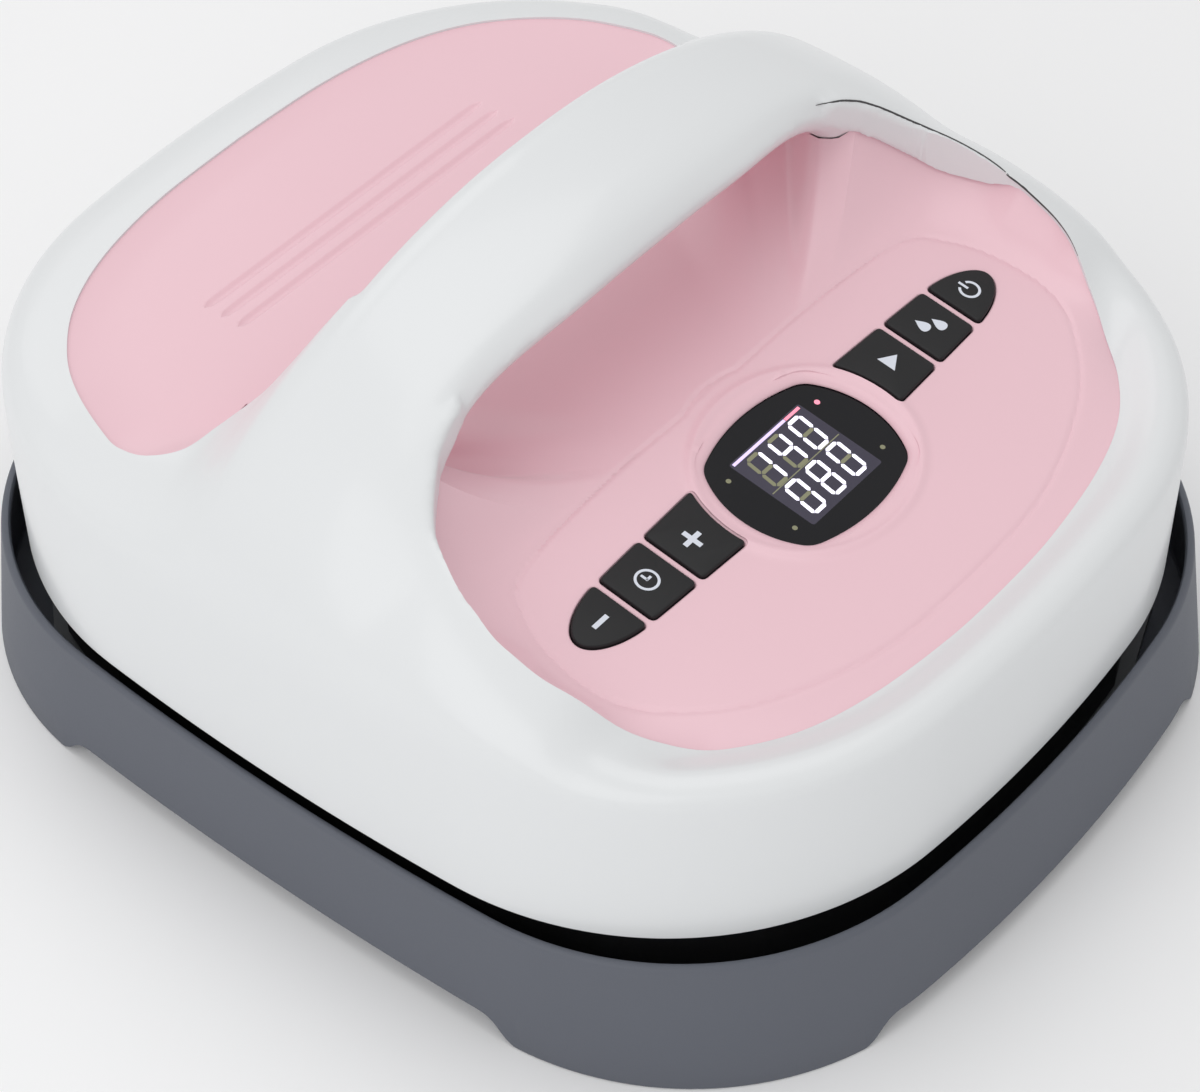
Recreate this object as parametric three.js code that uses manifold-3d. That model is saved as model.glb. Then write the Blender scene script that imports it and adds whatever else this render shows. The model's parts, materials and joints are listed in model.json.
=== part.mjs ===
// Hand-held craft heat press with its safety base, in millimetres, +Z up.
// X runs along the handle, -Y is the front with the control panel, and the
// origin lies under the middle of the base, on the surface that it stands on.
import * as THREE from 'three';
import { mergeVertices } from 'three/addons/utils/BufferGeometryUtils.js';
import Module from 'manifold-3d';

const wasm = await Module();
wasm.setup();

// Clearances shared by all pieces
const gap = 0.3;
const slideGap = 0.35;
const overrun = 4;

// Upper shell: half sizes at its lower edge, from which all other outlines follow
const edgeHalfX = 144.6;
const edgeHalfY = 164;
const shoulderDraft = 0.8;
const shoulderSpread = 1.2;
const shoulderHalfX = edgeHalfX - shoulderDraft;
const shoulderHalfY = edgeHalfY + shoulderSpread;
const shellSideRadius = 953;
const shellEndRadius = 491;
const shellCornerRadius = 102.7;
const shellWall = 2.6;
const dishDepth = 8;

// Safety base: a lofted tray that gets a little wider towards the table
const rimReveal = 3;
const rimEndReveal = 6.2;
const rimHalfX = edgeHalfX + rimReveal;
const rimHalfY = edgeHalfY + rimEndReveal;
const rimSideRadius = 1020;
const rimEndRadius = 509;
const rimCornerRadius = 95.6;
const footDraft = 1.9;
const footEndDraft = 5.8;
const footHalfX = rimHalfX + footDraft;
const footHalfY = rimHalfY + footEndDraft;
const footSideRadius = 1400;
const footEndRadius = 540;
const footCornerRadius = 94;
const rimZ = 46.5;
const rimRound = 1.6;
const trayWall = 3;
const footWall = 12;
const trayFloorZ = 8.4;
const trayFloor = 3;
const notchHeight = 7.8;
const notchHalfX = 80;
const notchHalfY = 85;
const notchRamp = 8;
const padThickness = 5;
const padInset = 9;

// Levels of the shell above the tray
const shellReveal = 3.5;
const wallHeight = 48;
const archRise = 85;
const edgeZ = rimZ + shellReveal;
const shoulderZ = edgeZ + wallHeight;
const crownZ = shoulderZ + archRise;

// Height of the crest along Y, as shares of the half length and of the rise
const crestShares = [[-1, 0.176], [-0.9, 0.176], [-0.73, 0.18], [-0.62, 0.235], [-0.53, 0.388],
  [-0.438, 0.506], [-0.347, 0.624], [-0.255, 0.765], [-0.17, 0.894], [-0.06, 0.976], [0.085, 1],
  [0.146, 0.941], [0.195, 0.788], [0.243, 0.588], [0.298, 0.435], [0.365, 0.365], [0.43, 0.335],
  [0.547, 0.29], [0.67, 0.28], [1, 0.28]];
// Fullness of the shoulder along Y: 2 is an ellipse, more is squarer
const fullShares = [[-1, 5], [-0.73, 4.5], [-0.53, 3.3], [-0.35, 2.6], [-0.18, 2], [0.18, 2],
  [0.3, 2.6], [0.43, 3.2], [0.6, 5], [1, 5]];

// Handle: a bar that arches from side to side over the grip opening
const noseY = -27;
const noseFootY = -19.5;
const heelY = 24.5;
const noseReturn = 4;
const noseRoundZ = 8;
const noseLipZ = 3;
const heelDropZ = 10;
const handleWall = 3;
const handleDepth = 24;
const handleInset = 18.8;
const handleReach = shoulderHalfX - handleInset;
const handleSink = 0.6;
const seamShare = 0.7;
const barSeamX = handleReach * seamShare;
const gripInset = 29;
const gripHalfX = handleReach - gripInset;
const gripLift = 14;
const gripFloorZ = shoulderZ + gripLift;
const barDepth = 23;
const gripRise = crownZ - gripFloorZ - barDepth;
const gripFullness = 3;
const coverWall = 2.5;
const coverFootLift = 8;
const coverFootZ = shoulderZ + coverFootLift;
const coverSetback = 0.7;
const wingStartY = -68;
const wingWall = 2;
const wingEndInset = 1;

// Front opening in the shell, as shares of its half width and its reach
const openRimX = 23.8;
const openRimY = 19.2;
const openHalfX = shoulderHalfX - openRimX;
const openReach = shoulderHalfY - openRimY;
const openShares = [[0, -1], [0.192, -0.995], [0.442, -0.966], [0.633, -0.918], [0.775, -0.842],
  [0.867, -0.757], [0.925, -0.69], [0.983, -0.589], [1, -0.507], [0.995, -0.377], [0.942, -0.271],
  [0.883, -0.217], [0.81, -0.177], [0.79, -0.168]];
const sideTurnY = -20;

// Front deck: tilted control panel, bowl sides and the floor under the handle
const panelTilt = 9.48;
const rowPlaceShare = 0.5055;
const panelRowY = -openReach * rowPlaceShare;
const panelLift = 15.2;
const panelRowZ = shoulderZ + panelLift;
const deckWall = 2.6;
const deckSplitY = 18;
const gripRimLift = 28;
const gripRimZ = shoulderZ + gripRimLift;
const gripSideInset = 1.5;
const deckEdgeDrop = 0.6;
const creaseShares = [[0, -0.931], [0.31, -0.916], [0.617, -0.832], [0.8, -0.72], [0.872, -0.62],
  [0.872, -0.5], [0.83, -0.4], [0.733, -0.325], [0.4, -0.3], [0, -0.3]];

const frontLevelShares = [0.5, 0.72, 0.84, 0.93, 1, 1.03];

// Rear deck, as shares of its half width and its reach
const rearRimX = 21.8;
const rearRimY = 24.2;
const rearHalfX = shoulderHalfX - rearRimX;
const rearReach = shoulderHalfY - rearRimY;
const rearLift = 18.6;
const rearDeckZ = shoulderZ + rearLift;
const rearShares = [[0, 1], [0.295, 0.99], [0.541, 0.95], [0.721, 0.883], [0.852, 0.787],
  [0.934, 0.681], [0.992, 0.553], [1, 0.496], [0.984, 0.44], [0.934, 0.376], [0.861, 0.347],
  [0.8, 0.335]];
const rearFlatShare = 0.8;
const rearLevelShares = [0.5, 0.8, 0.92, 1, 1.02];
const grooveLength = 125.2;
const grooveWidth = 3;
const grooveDepth = 1;
const groovePitch = 6.75;
const groovePlaceShare = 0.6326;
const grooveMidY = rearReach * groovePlaceShare;

// Button row on the panel, measured along the panel from the row's middle
const rowLengthShare = 0.8025;
const rowEndU = openHalfX * rowLengthShare;
const rowMidHalfV = 11.4;
const rowArcRadius = 1560;
const outerSplitShare = 0.7975;
const innerSplitShare = 0.5836;
const outerSplitU = rowEndU * outerSplitShare;
const innerSplitU = rowEndU * innerSplitShare;
const barWidth = 2.7;
const eyeRadius = 37;
const buttonRise = 0.9;
const buttonTravel = 0.8;
const buttonFlange = 0.8;
const flangeWall = 1;
const buttonStem = 0.5;

// Display
const displayV = -5;
const lensHalfU = 30;
const lensHalfV = 24;
const lensSideRadius = 31;
const lensEndRadius = 62;
const lensCornerRadius = 9;
const lensSink = 1.6;
const lensWall = 1.5;
const lensLap = 1.5;
const bezelWidth = 2.4;
const moduleU = 34.6;
const moduleV = 32.4;

// Control board, its switches, buzzer and screws
const boardOver = 1.7;
const boardU = 2 * (rowEndU + boardOver);
const boardReachShare = 0.37;
const boardV = openReach * boardReachShare;
const boardWall = 1.6;
const boardCorner = 6;
const boardMidV = -3;
const switchSize = 6;
const switchBody = 3.4;
const switchStem = 1.7;
const switchStemHeight = 0.9;
const buzzerRadius = 6;
const buzzerHeight = 5.5;
const postRadius = 3.6;
const postBore = 1.3;
const postInset = 7;
const postU = boardU / 2 - postInset;
const postV = boardV / 2 - postInset;
const smallScrewHead = 2.8;
const smallScrewHeadHeight = 1.8;
const smallScrewShank = 1;
const smallScrewLength = 7;

// Heating plate and what lies above it
const skirtInset = 6;
const skirtHalfX = edgeHalfX - skirtInset;
const skirtHalfY = edgeHalfY - skirtInset;
const skirtCornerRadius = 98;
const skirtWall = 2.4;
const skirtLift = 2;
const flangeInset = 24;
const skirtFlangeWall = 2.5;
const plateInsetX = 11.6;
const plateInsetY = 5.5;
const plateHalfX = skirtHalfX - plateInsetX;
const plateHalfY = skirtHalfY - plateInsetY;
const plateCornerRadius = 92;
const plateThickness = 10;
const elementRadius = 4;
const elementLegs = 6;
const elementMarginX = 31;
const elementMarginY = 34.5;
const elementReachX = plateHalfX - elementMarginX;
const elementReachY = plateHalfY - elementMarginY;
const legPitch = (2 * elementReachX) / (elementLegs - 1);
const elementSegments = 66;
const clampWidth = 12;
const clampWall = 1.5;
const clampOver = 11;
const clampLength = 2 * (elementReachX + clampOver);
const shieldWall = 1.5;
const shieldInset = 1.2;
const spacerInset = 14;
const spacerX = 2 * legPitch;
const spacerY = elementReachY - spacerInset;
const spacerRadius = 6;
const plateScrewRadius = 2.1;
const plateScrewHead = 4;
const plateScrewHeadHeight = 3;
const plateThreadDepth = 7;

// Shell screws and bosses
const bossInset = 17.6;
const bossX = edgeHalfX - bossInset;
const bossPlaceShare = 0.366;
const bossY = edgeHalfY * bossPlaceShare;
const bossRadius = 5;
const bossLift = 36;
const bossTopZ = shoulderZ + bossLift;
const bossBoreDepth = 20;
const shellScrewRadius = 1.9;
const shellScrewHead = 3.8;
const shellScrewHeadHeight = 2.4;
const shellScrewGrip = 15;

// Sensors, power board and cord inlet
const sensorLength = 14;
const sensorWidth = 8;
const sensorHeight = 5;
const fuseRadius = 2.2;
const fuseLength = 12;
const powerX = 96;
const powerY = 58;
const powerInset = 72;
const powerMidY = edgeHalfY - powerInset;
const powerLift = 8;
const standRadius = 3;
const relaySize = [20, 16, 18];
const relayMid = [-30, 8];
const coilSize = [24, 20, 20];
const coilMid = [22, -6];
const capRadius = 6;
const capHeight = 16;
const capMid = [-6, -16];
const inletZ = (edgeZ + shoulderZ) / 2;
const inletRadius = 8;
const inletFlange = 11;
const inletFlangeWall = 2.4;
const inletBore = 4;
const inletDepth = 16;

// Counts of facets
const planSteps = 52;
const innerSteps = planSteps / 2;
const deckStep = 18;
const barSteps = 23;
const roundSteps = 8;
const outlineSteps = 18;
const endSteps = 6;
const lensSteps = 28;

const colours = {
  white: [0xe6e9ea, 0.28, 0],
  pink: [0xe9c3cb, 0.32, 0],
  grey: [0x5d6168, 0.62, 0],
  black: [0x1b1c1e, 0.5, 0],
  button: [0x242527, 0.38, 0],
  lens: [0x111214, 0.08, 0],
  plate: [0x3a3b3d, 0.35, 0.6],
  steel: [0xb9bcc0, 0.3, 1],
  felt: [0xd8d4c8, 0.95, 0],
  board: [0x1f5a3a, 0.5, 0],
  ceramic: [0xe8e2d4, 0.6, 0],
  silicone: [0x86898e, 0.8, 0],
};

const part = new THREE.Group();

// Solids
function toSolid(geometry) {
  const bare = geometry.index ? geometry.clone() : geometry;
  bare.deleteAttribute('normal');
  bare.deleteAttribute('uv');
  const merged = mergeVertices(bare);
  return new wasm.Manifold(new wasm.Mesh({
    numProp: 3,
    vertProperties: new Float32Array(merged.attributes.position.array),
    triVerts: new Uint32Array(merged.index.array),
  }));
}

function toGeometry(solid) {
  const mesh = solid.getMesh();
  const geometry = new THREE.BufferGeometry();
  geometry.setAttribute('position', new THREE.BufferAttribute(mesh.vertProperties, 3));
  geometry.setIndex(new THREE.BufferAttribute(mesh.triVerts, 1));
  geometry.computeVertexNormals();
  return geometry;
}

function node(name, shape, colour, parent = part) {
  const [hex, roughness, metalness] = colours[colour];
  const geometry = shape.isBufferGeometry ? shape : toGeometry(shape);
  const material = new THREE.MeshStandardMaterial({ color: hex, roughness, metalness });
  const mesh = new THREE.Mesh(geometry, material);
  mesh.name = name;
  parent.add(mesh);
  return mesh;
}

// Rings of equal length joined into one closed skin, with a fan on both ends
function loft(rings) {
  const count = rings[0].length;
  const points = rings.flat();
  const faces = [];
  for (let ring = 0; ring + 1 < rings.length; ring += 1) {
    for (let i = 0; i < count; i += 1) {
      const a = ring * count + i;
      const b = ring * count + (i + 1) % count;
      faces.push(a, b, b + count, a, b + count, a + count);
    }
  }
  const capRing = (start, flip) => {
    const middle = new THREE.Vector3();
    for (let i = 0; i < count; i += 1) middle.addScaledVector(points[start + i], 1 / count);
    const centre = points.push(middle) - 1;
    for (let i = 0; i < count; i += 1) {
      const a = start + i;
      const b = start + (i + 1) % count;
      faces.push(...(flip ? [centre, b, a] : [centre, a, b]));
    }
  };
  capRing(0, true);
  capRing((rings.length - 1) * count, false);
  const geometry = new THREE.BufferGeometry().setFromPoints(points);
  geometry.setIndex(faces);
  return geometry;
}

// Rounded plan: two side arcs, two end arcs and four corner arcs, all tangent
class Plan {
  constructor(halfX, halfY, sideRadius, endRadius, cornerRadius) {
    Object.assign(this, { halfX, halfY, sideRadius, endRadius, cornerRadius });
    this.sideX = halfX - sideRadius;
    this.endY = halfY - endRadius;
    const r0 = sideRadius - cornerRadius;
    const r1 = endRadius - cornerRadius;
    const span = Math.hypot(this.sideX, this.endY);
    const along = (r0 * r0 - r1 * r1 + span * span) / (2 * span);
    const off = Math.sqrt(Math.max(0, r0 * r0 - along * along));
    const ux = -this.sideX / span;
    const uy = this.endY / span;
    this.cornerX = this.sideX + ux * along - uy * off;
    this.cornerY = uy * along + ux * off;
    const swap = this.cornerX + this.cornerY;
    const otherX = this.sideX + ux * along + uy * off;
    const otherY = uy * along - ux * off;
    if (otherX + otherY > swap) {
      this.cornerX = otherX;
      this.cornerY = otherY;
    }
    const sideTurn = Math.atan2(this.cornerY, this.cornerX - this.sideX);
    const endTurn = Math.atan2(this.cornerY - this.endY, this.cornerX);
    this.sideAngle = Math.atan2(
      this.cornerY + cornerRadius * Math.sin(sideTurn),
      this.cornerX + cornerRadius * Math.cos(sideTurn),
    );
    this.endAngle = Math.atan2(
      this.cornerY + cornerRadius * Math.sin(endTurn),
      this.cornerX + cornerRadius * Math.cos(endTurn),
    );
  }

  reach(angle) {
    const c = Math.abs(Math.cos(angle));
    const s = Math.abs(Math.sin(angle));
    const turn = Math.atan2(s, c);
    let [cx, cy, r] = [this.cornerX, this.cornerY, this.cornerRadius];
    if (turn < this.sideAngle) [cx, cy, r] = [this.sideX, 0, this.sideRadius];
    if (turn > this.endAngle) [cx, cy, r] = [0, this.endY, this.endRadius];
    const dot = c * cx + s * cy;
    return dot + Math.sqrt(dot * dot - cx * cx - cy * cy + r * r);
  }

  grown(by) {
    return new Plan(this.halfX + by, this.halfY + by, this.sideRadius + by, this.endRadius + by,
      this.cornerRadius + by);
  }

  ring(z, steps = planSteps, share = 1) {
    return Array.from({ length: steps }, (_, i) => {
      const angle = (i / steps) * Math.PI * 2;
      const r = this.reach(angle) * share;
      return new THREE.Vector3(r * Math.cos(angle), r * Math.sin(angle), z);
    });
  }

  slab(z0, z1, steps = planSteps) {
    return toSolid(loft([this.ring(z0, steps), this.ring(z1, steps)]));
  }
}

function smooth(low, high, value) {
  return THREE.MathUtils.smoothstep(value, low, high);
}

// Smooth value of a table of shares at t
function tableAt(shares, t) {
  const last = shares.length - 1;
  const at = THREE.MathUtils.clamp(t, shares[0][0], shares[last][0]);
  let i = 0;
  while (i < last - 1 && shares[i + 1][0] < at) i += 1;
  const slope = (a, b) => (shares[b][1] - shares[a][1]) / (shares[b][0] - shares[a][0]);
  const tangent = (k) => {
    if (k === 0 || k === last) return 0;
    const before = slope(k - 1, k);
    const after = slope(k, k + 1);
    return before * after <= 0 ? 0 : (2 * before * after) / (before + after);
  };
  const width = shares[i + 1][0] - shares[i][0];
  const u = (at - shares[i][0]) / width;
  const v = 1 - u;
  return shares[i][1] * (1 + 2 * u) * v * v + shares[i + 1][1] * (3 - 2 * u) * u * u
    + tangent(i) * width * u * v * v - tangent(i + 1) * width * v * u * u;
}

function prism(points, z0, z1) {
  const shape = new THREE.Shape(points);
  const geometry = new THREE.ExtrudeGeometry(shape, { depth: z1 - z0, bevelEnabled: false });
  return toSolid(geometry.translate(0, 0, z0));
}

function rod(radius, z0, z1, x = 0, y = 0, steps = roundSteps) {
  const geometry = new THREE.CylinderGeometry(radius, radius, z1 - z0, steps);
  return toSolid(geometry.rotateX(Math.PI / 2).translate(x, y, (z0 + z1) / 2));
}

function block(sizeX, sizeY, z0, z1, x = 0, y = 0) {
  return toSolid(new THREE.BoxGeometry(sizeX, sizeY, z1 - z0).translate(x, y, (z0 + z1) / 2));
}

function union(solids) {
  return solids.reduce((sum, next) => sum.add(next));
}

// Half outline given from the +X half, closed by its mirror image, as smooth points
function mirroredOutline(half, steps) {
  const curve = new THREE.SplineCurve(half);
  const right = curve.getSpacedPoints(steps);
  const left = right.slice(1).reverse().map((p) => new THREE.Vector2(-p.x, p.y));
  return [...left, ...right];
}

function inset(points, by) {
  const area = THREE.ShapeUtils.area(points);
  const side = Math.sign(area) * by;
  return points.map((p, i) => {
    const before = points[(i + points.length - 1) % points.length];
    const after = points[(i + 1) % points.length];
    const a = p.clone().sub(before).normalize();
    const b = after.clone().sub(p).normalize();
    const along = a.clone().add(b).normalize();
    const scale = side / Math.max(1 / 2, along.dot(a));
    return new THREE.Vector2(p.x - along.y * scale, p.y + along.x * scale);
  });
}

// Where a ray from a point inside an outline meets it
function rayReach(points, from, angle) {
  const dx = Math.cos(angle);
  const dy = Math.sin(angle);
  let best = 0;
  points.forEach((p, i) => {
    const q = points[(i + 1) % points.length];
    const ex = q.x - p.x;
    const ey = q.y - p.y;
    const det = ex * dy - ey * dx;
    if (Math.abs(det) > 1e-9) {
      const t = (ex * (p.y - from.y) - ey * (p.x - from.x)) / det;
      const k = (dx * (p.y - from.y) - dy * (p.x - from.x)) / det;
      if (k >= -1e-6 && k <= 1 + 1e-6 && t > best) best = t;
    }
  });
  return best;
}

// Upper surface of the shell over a point of the plan
const shellPlan = new Plan(shoulderHalfX, shoulderHalfY, shellSideRadius, shellEndRadius,
  shellCornerRadius);
const edgePlan = new Plan(edgeHalfX, edgeHalfY, shellSideRadius, shellEndRadius,
  shellCornerRadius);

function topHeight(x, y, drop = 0) {
  const plan = drop ? shellPlan.grown(-drop) : shellPlan;
  const share = Math.min(1, Math.hypot(x, y) / plan.reach(Math.atan2(y, x)));
  const t = y / shoulderHalfY;
  const rise = (crownZ - shoulderZ) * tableAt(crestShares, t) - drop;
  const full = tableAt(fullShares, t);
  const round = (1 - share ** full) ** (1 / full);
  const outerShare = Math.min(1, Math.hypot(x, y) / shellPlan.reach(Math.atan2(y, x)));
  const dish = dishDepth * (1 - smooth(-0.73, -0.53, t)) * (1 - smooth(0.87, 0.965, outerShare));
  return shoulderZ + rise * round - dish;
}

const bodyRingShares = [0.99, 0.97, 0.935, 0.88, 0.8, 0.68, 0.5, 0.1];

function bodySolid(drop, steps) {
  const lower = edgePlan.grown(-drop);
  const upper = shellPlan.grown(-drop);
  const rings = [lower.ring(edgeZ - (drop ? overrun : 0), steps), upper.ring(shoulderZ, steps)];
  bodyRingShares.forEach((share) => {
    rings.push(upper.ring(0, steps, share).map((p) => p.setZ(topHeight(p.x, p.y, drop))));
  });
  return toSolid(loft(rings));
}

function gripTop(x) {
  const share = Math.min(1, Math.abs(x) / gripHalfX);
  return gripFloorZ + gripRise * (1 - share ** gripFullness) ** (1 / gripFullness);
}

// Section of the handle bar in the plane across X, grown or shrunk by a named wall
function barSection(x, grow, open) {
  const far = smooth(handleReach * 0.25, handleReach * 0.64, Math.abs(x));
  const sink = handleSink * smooth(barSeamX, handleReach, Math.abs(x));
  const nose = noseY + noseReturn * far - grow;
  const noseFoot = noseFootY + noseReturn * far - grow;
  const heel = heelY + grow;
  const low = Math.max(gripTop(x) + slideGap, topHeight(x, 0) - handleDepth);
  const bottom = open ? low - handleDepth : low - grow;
  const top = (y) => topHeight(x, y) - sink + grow;
  const depth = nose - noseFoot;
  const lift = open ? -handleWall - grow : 0;
  const roundZ = noseRoundZ + grow + 2 * lift;
  const points = [[noseFoot, bottom]];
  points.push([noseFoot + (open ? 0 : depth * 0.7), low + noseLipZ + lift]);
  points.push([nose, Math.min(low + roundZ, top(nose) - noseLipZ)]);
  [0.9, 0.75, 0.5, 0.2].forEach((share) => {
    const y = nose * share;
    const round = share > 0.8 ? noseLipZ / 2 : 0;
    points.push([y, top(y) - round]);
  });
  [0.1, 0.4, 0.62].forEach((share) => points.push([heel * share, top(heel * share)]));
  points.push([heel * 0.84, top(heel * 0.62) - heelDropZ * 0.2]);
  points.push([heel * 0.96, top(heel * 0.62) - heelDropZ * 0.6]);
  points.push([heel, top(heel * 0.62) - heelDropZ * 1.1]);
  points.push([heel - (open ? 0 : noseLipZ / 2), bottom]);
  return points.map(([y, z]) => new THREE.Vector3(x, y, z));
}

function barSolid(grow, open, stations) {
  const rings = Array.from({ length: stations }, (_, i) => {
    const x = -handleReach + (2 * handleReach * i) / (stations - 1);
    return barSection(x, grow, open).reverse();
  });
  return toSolid(loft(rings));
}

// Plan outlines of the openings
const openHalf = openShares.map(([u, v]) => new THREE.Vector2(u * openHalfX, v * openReach));
const frontOutline = mirroredOutline(openHalf, outlineSteps);
const rearHalf = rearShares.map(([u, v]) => new THREE.Vector2(u * rearHalfX, v * rearReach));
const rearOutline = mirroredOutline(rearHalf, outlineSteps).reverse();
const gripEdgeX = gripHalfX - gripSideInset;

const openEndY = openHalf[openHalf.length - 1].y;
const rearTurnY = rearHalf[rearHalf.length - 1].y;

function frontPlan(sideX, backY) {
  return [...frontOutline, new THREE.Vector2(sideX, sideTurnY), new THREE.Vector2(sideX, backY),
    new THREE.Vector2(-sideX, backY), new THREE.Vector2(-sideX, sideTurnY)];
}

function rearPlan(sideX, frontY) {
  return [...rearOutline, new THREE.Vector2(-sideX, rearTurnY), new THREE.Vector2(-sideX, frontY),
    new THREE.Vector2(sideX, frontY), new THREE.Vector2(sideX, rearTurnY)];
}

// Shell with its handle
function upperShell() {
  const top = crownZ + overrun;
  const spanY = deckSplitY - openEndY + 2 * overrun;
  const room = bodySolid(shellWall, planSteps);
  const footRoom = room.subtract(block(2 * (gripHalfX - slideGap), 2 * rearReach, edgeZ, top));
  const body = bodySolid(0, planSteps)
    .subtract(prism(frontOutline, edgeZ + overrun, top))
    .subtract(prism(rearPlan(gripHalfX, deckSplitY), edgeZ + overrun, top))
    .subtract(block(2 * barSeamX, spanY, edgeZ + overrun, top, 0, (deckSplitY + openEndY) / 2));
  let shell = body.subtract(room)
    .add(barSolid(0, false, barSteps).subtract(footRoom))
    .subtract(barSolid(-handleWall, true, barSteps));
  const bosses = [];
  const bores = [];
  const startZ = flangeTopZ + gap + shieldWall + gap;
  corners(bossX, bossY).forEach(([x, y]) => {
    bosses.push(rod(bossRadius, startZ, bossTopZ, x, y));
    bores.push(rod(shellScrewRadius + slideGap, startZ - overrun, startZ + bossBoreDepth, x, y));
  });
  shell = shell.add(union(bosses).intersect(bodySolid(shellWall / 2, planSteps)));
  shell = shell.subtract(union(bores));
  return shell.subtract(inletRod(inletRadius + slideGap));
}

function corners(x, y) {
  return [[x, y], [-x, y], [-x, -y], [x, -y]];
}

function inletRod(radius) {
  const length = inletDepth + overrun;
  const geometry = new THREE.CylinderGeometry(radius, radius, length, roundSteps);
  return toSolid(geometry.translate(0, edgeHalfY, inletZ));
}

// Lining of the grip opening, under the handle bar and down its two feet
function gripProfile(by, footZ) {
  const points = [new THREE.Vector2(gripHalfX + by, footZ)];
  const steps = 24;
  for (let i = 0; i <= steps; i += 1) {
    const angle = (i / steps) * Math.PI;
    const c = Math.cos(angle);
    const s = Math.sin(angle);
    const x = Math.sign(c) * Math.abs(c) ** (2 / gripFullness) * (gripHalfX + by);
    points.push(new THREE.Vector2(x, gripFloorZ + s ** (2 / gripFullness) * (gripRise + by)));
  }
  points.push(new THREE.Vector2(-gripHalfX - by, footZ));
  return points;
}

function gripSolid(by, footZ, y0, y1) {
  const shape = new THREE.Shape(gripProfile(by, footZ));
  const geometry = new THREE.ExtrudeGeometry(shape, { depth: y1 - y0, bevelEnabled: false });
  return toSolid(geometry.rotateX(Math.PI / 2).translate(0, y1, 0));
}

function gripCover() {
  const reach = rearReach / 2;
  const lining = gripSolid(coverWall, coverFootZ, -reach, reach)
    .subtract(gripSolid(0, coverFootZ - overrun, -reach - overrun, reach + overrun));
  const between = block(2 * gripHalfX, 2 * reach, edgeZ, crownZ);
  const room = bodySolid(shellWall + slideGap, planSteps).subtract(between)
    .add(barSolid(-handleWall - slideGap, true, barSteps));
  const back = rearTurnY - coverSetback;
  const front = openEndY + 2 * slideGap;
  const clip = block(2 * handleReach, back - front, coverFootZ, crownZ, 0,
    (back + front) / 2);
  return lining.intersect(room).intersect(clip);
}

// Directions from a point inside an outline to its corners and to places between them
function outlineAngles(outline, from) {
  const angles = [];
  outline.forEach((p, i) => {
    const q = outline[(i + 1) % outline.length];
    const parts = Math.ceil(p.distanceTo(q) / deckStep);
    for (let k = 0; k < parts; k += 1) {
      const at = p.clone().lerp(q, k / parts).sub(from);
      angles.push(Math.atan2(at.y, at.x));
    }
  });
  return angles.sort((a, b) => a - b);
}

// Decks: a skin over a star-shaped plan with a floor and a rim that follows the shell
function deckSolid(outline, from, levels, surface) {
  const angles = outlineAngles(outline, from);
  const fan = (share, drop) => angles.map((angle) => {
    const reach = rayReach(outline, from, angle) * share;
    const x = from.x + reach * Math.cos(angle);
    const y = from.y + reach * Math.sin(angle);
    return new THREE.Vector3(x, y, surface(x, y, share, angle) - drop);
  });
  const rings = levels.filter((_, i) => i === 0 || i % 2 === 1).map((share) => fan(share, deckWall));
  const skin = toSolid(loft([...rings, ...[...levels].reverse().map((share) => fan(share, 0))]));
  return skin.intersect(prism(outline, edgeZ, crownZ));
}

// Height of the front deck's rim, which leaves the shell's skin near the handle's feet
function deckRim(x, y) {
  const skin = topHeight(x, y) - deckEdgeDrop;
  return skin + (gripRimZ - skin) * smooth(wingStartY, openEndY, y);
}

function footSide(x) {
  return smooth(gripEdgeX * 0.8, gripEdgeX * 0.92, Math.abs(x));
}

const panelSlope = Math.tan(THREE.MathUtils.degToRad(panelTilt));
const panelMid = new THREE.Vector2(0, panelRowY);

// Strip of lining between the deck's rim and the shell's edge, beside a foot of the handle
function footLining(sign) {
  const path = frontOutline.filter((p) => p.x > gripHalfX - wingEndInset && p.y > wingStartY);
  const rings = [];
  path.forEach((p, i) => {
    const before = path[Math.max(i - 1, 0)];
    const after = path[Math.min(i + 1, path.length - 1)];
    const along = after.clone().sub(before).normalize();
    const inward = new THREE.Vector2(-along.y, along.x);
    const low = deckRim(p.x, p.y) + 2 * gap;
    const high = topHeight(p.x, p.y) - deckEdgeDrop;
    if (high - low < gap) return;
    const near = p.clone().addScaledVector(inward, slideGap);
    const far = p.clone().addScaledVector(inward, slideGap + wingWall);
    const ring = [[near, low], [far, low], [far, high], [near, high]]
      .map(([q, z]) => new THREE.Vector3(sign * q.x, q.y, z));
    rings.push(sign > 0 ? ring : ring.reverse());
  });
  return toSolid(loft(rings));
}

const creaseHalf = creaseShares.map(([u, v]) => new THREE.Vector2(u * openHalfX, v * openReach));
const creaseOutline = mirroredOutline(creaseHalf.slice(0, -1), outlineSteps);

function frontDeck() {
  const outline = inset(frontPlan(gripEdgeX, deckSplitY), slideGap);
  const crease = (angle) => rayReach(creaseOutline, panelMid, angle);
  const surface = (x, y, share, angle) => {
    const whole = rayReach(outline, panelMid, angle);
    const edge = new THREE.Vector2(panelMid.x + whole * Math.cos(angle),
      panelMid.y + whole * Math.sin(angle));
    const flat = panelRowZ + panelSlope * (y - panelRowY);
    const floor = Math.min(flat, panelRowZ + panelSlope * (creaseHalf[8].y - panelRowY));
    const start = crease(angle) / whole;
    const climb = THREE.MathUtils.clamp((share - start) / (1 - start), 0, 1);
    const under = smooth(openEndY - 4 * gap, openEndY, edge.y);
    const low = floor + (gripRimZ - floor) * footSide(edge.x);
    const rim = deckRim(edge.x, edge.y) * (1 - under) + under * low;
    return floor + (rim - floor) * climb ** 2;
  };
  return deckSolid(outline, panelMid, frontLevelShares, surface);
}

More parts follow.
